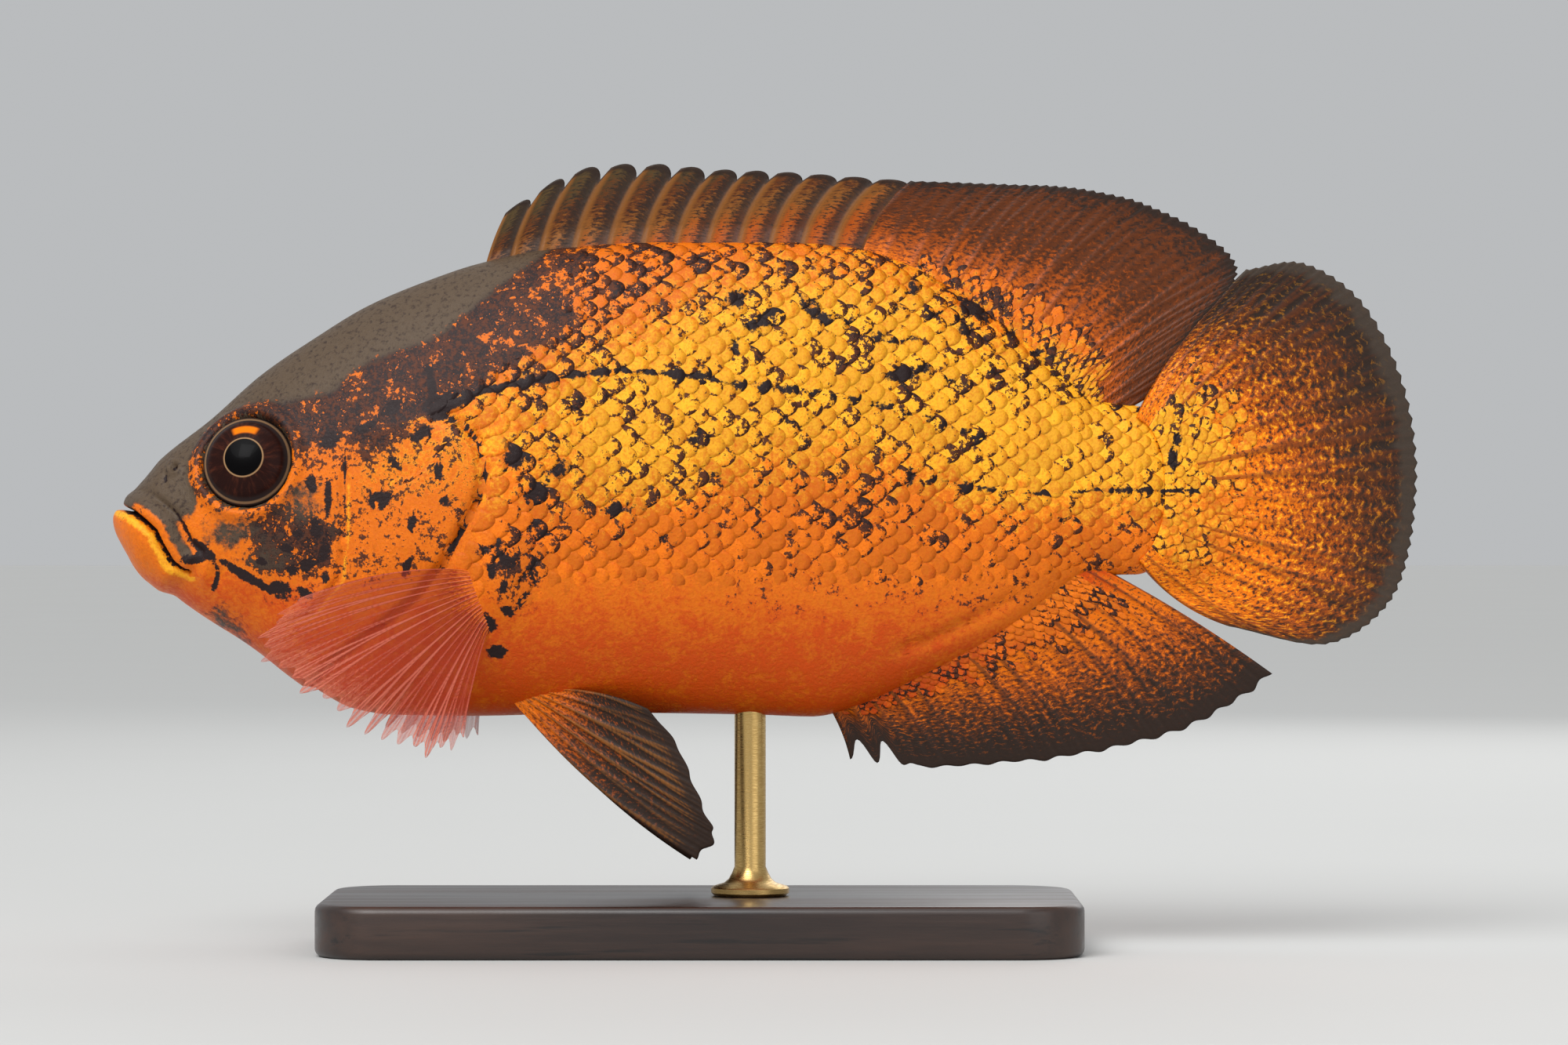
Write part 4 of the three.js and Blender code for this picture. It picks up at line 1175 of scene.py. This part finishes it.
class OSCAR_OT_eyes(bpy.types.Operator):
    """Sets the two eyeballs in their orbits"""

    bl_idname = "oscar.eyes"
    bl_label = "Eyes"

    def execute(self, context):
        radius = context.scene.oscar_sizes.eye_radius
        material = eye_gloss(context.scene.oscar_tones)
        level = (Vector((1, 0, 0)) - EYE_AXIS * EYE_AXIS.x).normalized()
        raised = level.cross(EYE_AXIS)
        raised = raised if raised.z > 0 else -raised
        middle = np.array([EYE_CENTRE[0], EYE_Y, EYE_CENTRE[1]])
        for side, word in ((-1, "left"), (1, "right")):
            bm = bmesh.new()
            bmesh.ops.create_uvsphere(bm, u_segments=96, v_segments=64, radius=1)
            mesh = finish_mesh(bm, f"oscar_eye_{word}")
            ball = coordinates(mesh)
            away = np.hypot(ball[:, 0], ball[:, 1])
            outer = ball[:, 2] > 0
            dome = EYE_DEPTH * ball[:, 2]
            dome += np.where(outer, 0.3 * bump(away, 0.42) - 0.35 * bump(away - 0.88, 0.07), 0)
            points = (middle + ball[:, :1] * radius * np.array(level)
                      + ball[:, 1:2] * radius * np.array(raised) + dome[:, None] * np.array(EYE_AXIS))
            points[:, 1] *= side
            turn = np.arctan2(ball[:, 1], ball[:, 0])
            back = np.where(ball[:, 2] > -0.1, away, 1.0)
            eye = np.stack([back, 0.5 + np.cos(turn) / 2, 0.5 + np.sin(turn) / 2, back], axis=-1)
            set_attribute(mesh, "Eye", eye)
            add_closed_piece(f"oscar_eye_{word}", mesh, points, material, "eye", f"eye_{word}")
        return {"FINISHED"}


class OSCAR_OT_median_fins(bpy.types.Operator):
    """Builds the dorsal, anal and tail fins"""

    bl_idname = "oscar.median_fins"
    bl_label = "Dorsal, anal and tail fins"

    def execute(self, context):
        sizes, t = context.scene.oscar_sizes, context.scene.oscar_tones
        fleshy = [{key: coat[key] for key in ("flesh_half", "flesh_share")}
                  for coat in (DORSAL_COAT, ANAL_COAT, TAIL_COAT)]
        spiny = fin_skin(
            "fin_spiny_dorsal",
            [(0.0, t.fin_rust), (0.2, t.fin_rust), (0.45, t.fin_gold), (0.7, t.fin_brown),
             (1.0, t.fin_olive)],
            (t.fin_gold, 0.8), (t.fin_dark, t.fin_gold, 0.8), ray_count=13, tilt=0.7,
            margin=(0.93, t.fin_dark), shadow=0.85)
        build_fin("oscar_dorsal_spines", "dorsal_fin_spiny", spiny, "dark_fin", DORSAL_SPINES, 13,
                  sizes, (0.55, 0.2), lobed(13, lambda u: 0.44 - 0.3 * u), branches=False,
                  cells_along=70, **fleshy[0])
        soft = fin_skin(
            "fin_soft_dorsal",
            [(0.0, t.orange), (0.1, t.orange), (0.26, t.fin_rust), (0.5, t.fin_brown),
             (0.8, t.fin_brown), (1.0, t.fin_dark)],
            (t.fin_brown, 0.5), (t.fin_dark, t.fin_rust, 0.65), ray_count=18,
            margin=(0.95, t.fin_dark))
        build_fin("oscar_dorsal_rays", "dorsal_fin_soft", soft, "dark_fin", DORSAL_RAYS, 18, sizes,
                  (0.4, 0.12), worn(18, 0.016, 3, tips=3), wave=0.25, **fleshy[0])
        anal = fin_skin(
            "fin_anal",
            [(0.0, t.red), (0.2, t.orange), (0.42, t.fin_rust), (0.62, t.fin_brown),
             (0.8, t.fin_dark), (1.0, t.fin_dark)],
            (t.fin_dark, 0.7), (t.fin_dark, t.orange, 0.8), tilt=0.25, margin=(0.9, t.fin_dark))
        build_fin("oscar_anal_fin", "anal_fin", anal, "dark_fin", ANAL_RAYS, 17, sizes, (0.42, 0.12),
                  worn(17, lambda u: 0.018 + 0.28 * (1 - ease(u, 0.08, 0.16)), 4, 0.02), wave=0.2,
                  **fleshy[1])
        tail = fin_skin(
            "fin_tail",
            [(0.0, t.orange), (0.34, t.orange), (0.54, t.fin_rust), (0.74, t.fin_brown),
             (0.92, t.fin_dark)],
            (t.fin_brown, 0.6), (t.fin_dark, t.yellow, 0.85), tilt=0.4, margin=(0.93, t.fin_edge))
        build_fin("oscar_tail_fin", "tail_fin", tail, "tail_fin", TAIL_RAYS, 17, sizes, (0.42, 0.12),
                  worn(17, 0.012, 5, 0.006, tips=3), wave=0.25, cells_along=130, **fleshy[2])
        return {"FINISHED"}


class OSCAR_OT_fin_scales(bpy.types.Operator):
    """Lays small scales over the fleshy roots of the tail, soft dorsal and anal fins"""

    bl_idname = "oscar.fin_scales"
    bl_label = "Scales on the fins"

    def execute(self, context):
        for word, guides, lay in (("tail", TAIL_RAYS, TAIL_COAT),
                                  ("dorsal", DORSAL_RAYS, DORSAL_COAT),
                                  ("anal", ANAL_RAYS, ANAL_COAT)):
            self.coat(f"oscar_scales_{word}_fin", fin_surface(guides), lay,
                      context.scene.oscar_sizes)
        return {"FINISHED"}

    def coat(self, name, at, lay, sizes):
        random = np.random.default_rng(FIN_COAT_SEED)
        columns, rows = lay["columns"], lay["rows"]
        grid = np.meshgrid(np.arange(rows), np.arange(columns), (-1, 1), indexing="ij")
        row, column, side = (part.ravel()[:, None] for part in grid)
        out = (row + 0.35 + random.normal(0, 0.1, row.shape)) / rows
        keep = (random.random(row.shape) > 1.8 * (out - 0.55))[:, 0]
        row, column, side, out = row[keep], column[keep], side[keep], out[keep]
        root_u = (column + 0.25 + 0.5 * (row % 2) + random.normal(0, 0.06, row.shape)) / columns
        chance = random.random(row.shape)
        mesh, (a, b, face), (disc_out, disc_across, away) = scale_batch(name, len(row))
        size = 1 - 0.35 * out
        u = np.clip(root_u + size * disc_across * 0.62 / columns, 0.004, 0.996)
        v = np.clip(lay["reach"] * (out + size * disc_out * 1.3 / rows), 0, 1)
        middle, normal = fin_frame(at, u, v)
        under = fin_half(v, 0, sizes, (0, 0), lay["flesh_half"], lay["flesh_share"])
        under = under * np.minimum(1, 8 * np.minimum(u, 1 - u))
        lift = (0.12 * (disc_out + 1) / 2 + face * 0.07) * (0.8 + 0.4 * chance) * size + 0.02
        points = middle + normal * (side * (under + lift))[..., None]
        shares, yellow = pigment(middle, sizes)
        shares[..., 3] = np.clip(shares[..., 3], lay["marble"], 0.5)
        yellow = np.maximum(yellow, lay["yellow"]) * (1 - 0.45 * v / lay["reach"])
        patch_u = 0.02 + 0.96 * root_u + SCALE_PATCH * b
        patch_v = 0.25 + 0.25 * side + 0.02 + 0.44 * out + SCALE_PATCH * a
        add_coat(name, mesh, points, shares, (yellow, rear_rim(a, away), chance, away),
                 (patch_u, patch_v))


class OSCAR_OT_paired_fins(bpy.types.Operator):
    """Builds the pectoral and pelvic fins on both sides"""

    bl_idname = "oscar.paired_fins"
    bl_label = "Pectoral and pelvic fins"

    def execute(self, context):
        sizes, t = context.scene.oscar_sizes, context.scene.oscar_tones
        clear = fin_skin(
            "fin_pectoral",
            [(0.0, t.orange), (0.14, t.pink), (0.8, t.pink), (1.0, t.pink_ray)],
            (t.pink_ray, 0.7), (t.red, t.pink_ray, 0.3), alpha=0.26, ray_count=20)
        dark = fin_skin(
            "fin_pelvic",
            [(0.0, t.orange), (0.16, t.fin_rust), (0.32, t.fin_brown), (0.5, t.fin_dark),
             (1.0, t.fin_dark)],
            (t.fin_gold, 0.75), (t.fin_dark, t.fin_rust, 0.6), ray_count=7,
            margin=(0.9, t.fin_dark))
        for side, word in ((-1, "left"), (1, "right")):
            guides = flank_guides(PECTORAL_RAYS, side, 1.4)
            margin = worn(20, lambda u: 0.03 + 0.05 * u + 0.12 * bump(u - 0.63, 0.06),
                          11 + side, 0.09)
            build_fin(f"oscar_pectoral_{word}", f"pectoral_fin_{word}", clear, "clear_fin", guides,
                      20, sizes, (0.16, 0.06), margin, flesh_half=0.8, flesh_share=0.12, wave=0.25)
            guides = flank_guides(PELVIC_RAYS, side, 1.6)
            if side > 0:
                guides = lowered(guides, FAR_PELVIC_DROP)
            build_fin(f"oscar_pelvic_{word}", f"pelvic_fin_{word}", dark, "dark_fin", guides, 7,
                      sizes, (0.5, 0.14), worn(7, 0.02, 21 + side, 0.02), flesh_half=0.9,
                      flesh_share=0.16, wave=0.35)
        return {"FINISHED"}


class OSCAR_OT_stand(bpy.types.Operator):
    """Builds the display stand: a wooden base and a turned brass rod"""

    bl_idname = "oscar.stand"
    bl_label = "Stand"

    def execute(self, context):
        tones = context.scene.oscar_tones
        low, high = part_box("stand_base")
        bm = bmesh.new()
        bmesh.ops.create_cube(bm, size=1)
        bmesh.ops.scale(bm, vec=high - low, verts=bm.verts)
        bmesh.ops.translate(bm, vec=(low + high) / 2, verts=bm.verts)
        upright = [e for e in bm.edges if abs(e.verts[0].co.z - e.verts[1].co.z) > MM]
        bmesh.ops.bevel(bm, geom=upright, offset=10 * MM, segments=12, affect="EDGES", profile=0.5,
                        material=-1)
        level = [e for e in bm.edges if abs(e.verts[0].co.z - e.verts[1].co.z) < MM / 10]
        level = [e for e in level if e.is_manifold and abs(e.calc_face_angle(0)) > 1]
        bmesh.ops.bevel(bm, geom=level, offset=1.2 * MM, segments=4, affect="EDGES", profile=0.5,
                        material=-1)
        mesh = finish_mesh(bm, "stand_base_board")
        mesh.set_sharp_from_angle(angle=math.radians(40))
        add_piece("stand_base_board", mesh, stained_wood(tones), "stand_base", "stand_base")
        low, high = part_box("stand_rod")
        middle = (low + high) / 2
        # The rod's outline, in millimetres from its axis and from the top of the base. It sinks a
        # little into the base and into the belly.
        rod, sunk = 2.4, 0.2
        foot = (high.x - low.x) / 2 / MM
        top = (high.z - low.z) / MM + sunk
        turned = [
            (0, -sunk), (foot - 0.4, -sunk), (foot, 0.2), (foot, 0.9), (foot - 0.3, 1.2),
            (rod + 1.6, 1.7), (rod + 0.9, 2.3), (rod + 0.4, 3.2), (rod, 4.2), (rod, top), (0, top),
        ]
        bm = bmesh.new()
        verts = [bm.verts.new((middle.x + r * MM, middle.y, low.z + z * MM)) for r, z in turned]
        edges = [bm.edges.new(pair) for pair in zip(verts, verts[1:])]
        bmesh.ops.spin(bm, geom=verts + edges, cent=middle, axis=(0, 0, 1), steps=64,
                       angle=2 * math.pi, use_merge=True)
        bmesh.ops.remove_doubles(bm, verts=bm.verts, dist=1e-6)
        bmesh.ops.recalc_face_normals(bm, faces=bm.faces)
        mesh = finish_mesh(bm, "stand_brass_rod")
        mesh.set_sharp_from_angle(angle=math.radians(35))
        add_piece("stand_brass_rod", mesh, satin_brass(tones), "stand_rod", "stand_rod")
        return {"FINISHED"}


class OSCAR_OT_stage(bpy.types.Operator):
    """Sets the camera, the pale floor and the soft studio lights"""

    bl_idname = "oscar.stage"
    bl_label = "Stage"

    def execute(self, context):
        stage = context.scene.oscar_stage
        data = bpy.data.cameras.new("camera")
        data.sensor_width = 36
        data.lens = data.sensor_width * stage.camera_distance / stage.view_width
        camera = self.add("camera", data, (stage.view_x, -stage.camera_distance, stage.view_z))
        camera.rotation_euler = (math.pi / 2, 0, 0)
        context.scene.camera = camera
        bm = bmesh.new()
        bmesh.ops.create_grid(bm, x_segments=1, y_segments=1, size=FLOOR_HALF)
        mesh = finish_mesh(bm, "floor")
        paint = Paint("floor_paint", stage.floor, Specular_IOR_Level=0.2)
        cloud = paint.noise(6, 2)
        paint.over((0.6, 0.6, 0.6), cloud, 0.3, 0.7, 0.0, 0.04)
        mesh.materials.append(paint.finish(cloud, 0.3, 0.7, 0.7, 0.8))
        self.add("floor", mesh)
        world = bpy.data.worlds.new("studio")
        context.scene.world = world
        world.use_nodes = True
        light = world.node_tree.nodes["Background"].inputs
        light["Color"].default_value = (0.86, 0.88, 0.9, 1)
        light["Strength"].default_value = 0.57 * stage.light
        for name, place_at, size, power in (
            ("sky", (-0.5, -0.9, 1.2), 0, 1.65),
            ("key", (-0.35, -0.75, 0.75), 0.5, 4.0),
            ("fill", (0.6, -0.8, 0.35), 0.7, 1.4),
            ("top", (0.05, 0.1, 0.9), 0.6, 1.0),
            ("back", (0.3, 0.8, 0.5), 0.6, 1.6),
        ):
            lamp = bpy.data.lights.new(name, "AREA" if size else "SUN")
            if size:
                lamp.size = size
            else:
                lamp.angle = math.radians(50)
            lamp.energy = power * stage.light
            aim = Vector((0, 0, stage.view_z)) - Vector(place_at)
            self.add(name, lamp, place_at).rotation_euler = aim.to_track_quat("-Z", "Y").to_euler()
        context.scene.view_settings.view_transform = "Standard"
        return {"FINISHED"}

    def add(self, name, data, location=(0, 0, 0)):
        added = bpy.data.objects.new(name, data)
        added.location = location
        bpy.context.scene.collection.objects.link(added)
        return added


class OSCAR_PT_panel(bpy.types.Panel):
    """Lists the oscar's pieces"""

    bl_label = "Oscar"
    bl_idname = "OSCAR_PT_panel"
    bl_space_type = "VIEW_3D"
    bl_region_type = "UI"
    bl_category = "Oscar"

    def draw(self, context):
        for operator in OPERATORS:
            self.layout.operator(operator.bl_idname)
        for group in ("oscar_sizes", "oscar_tones", "oscar_stage"):
            settings = getattr(context.scene, group)
            for key in settings.bl_rna.properties.keys():
                if key not in ("rna_type", "name"):
                    self.layout.prop(settings, key)


OPERATORS = (
    OSCAR_OT_stage, OSCAR_OT_skin, OSCAR_OT_scales, OSCAR_OT_eyes, OSCAR_OT_median_fins,
    OSCAR_OT_fin_scales, OSCAR_OT_paired_fins, OSCAR_OT_stand,
)
CLASSES = (OscarSizes, OscarTones, OscarStage, *OPERATORS, OSCAR_PT_panel)


def register():
    for each in CLASSES:
        bpy.utils.register_class(each)
    bpy.types.Scene.oscar_sizes = PointerProperty(type=OscarSizes)
    bpy.types.Scene.oscar_tones = PointerProperty(type=OscarTones)
    bpy.types.Scene.oscar_stage = PointerProperty(type=OscarStage)


def unregister():
    del bpy.types.Scene.oscar_stage
    del bpy.types.Scene.oscar_tones
    del bpy.types.Scene.oscar_sizes
    for each in reversed(CLASSES):
        bpy.utils.unregister_class(each)


def main():
    register()
    bpy.ops.oscar.stage()
    bpy.ops.oscar.skin()
    bpy.ops.oscar.scales()
    bpy.ops.oscar.eyes()
    bpy.ops.oscar.median_fins()
    bpy.ops.oscar.fin_scales()
    bpy.ops.oscar.paired_fins()
    bpy.ops.oscar.stand()


if __name__ == "__main__":
    main()
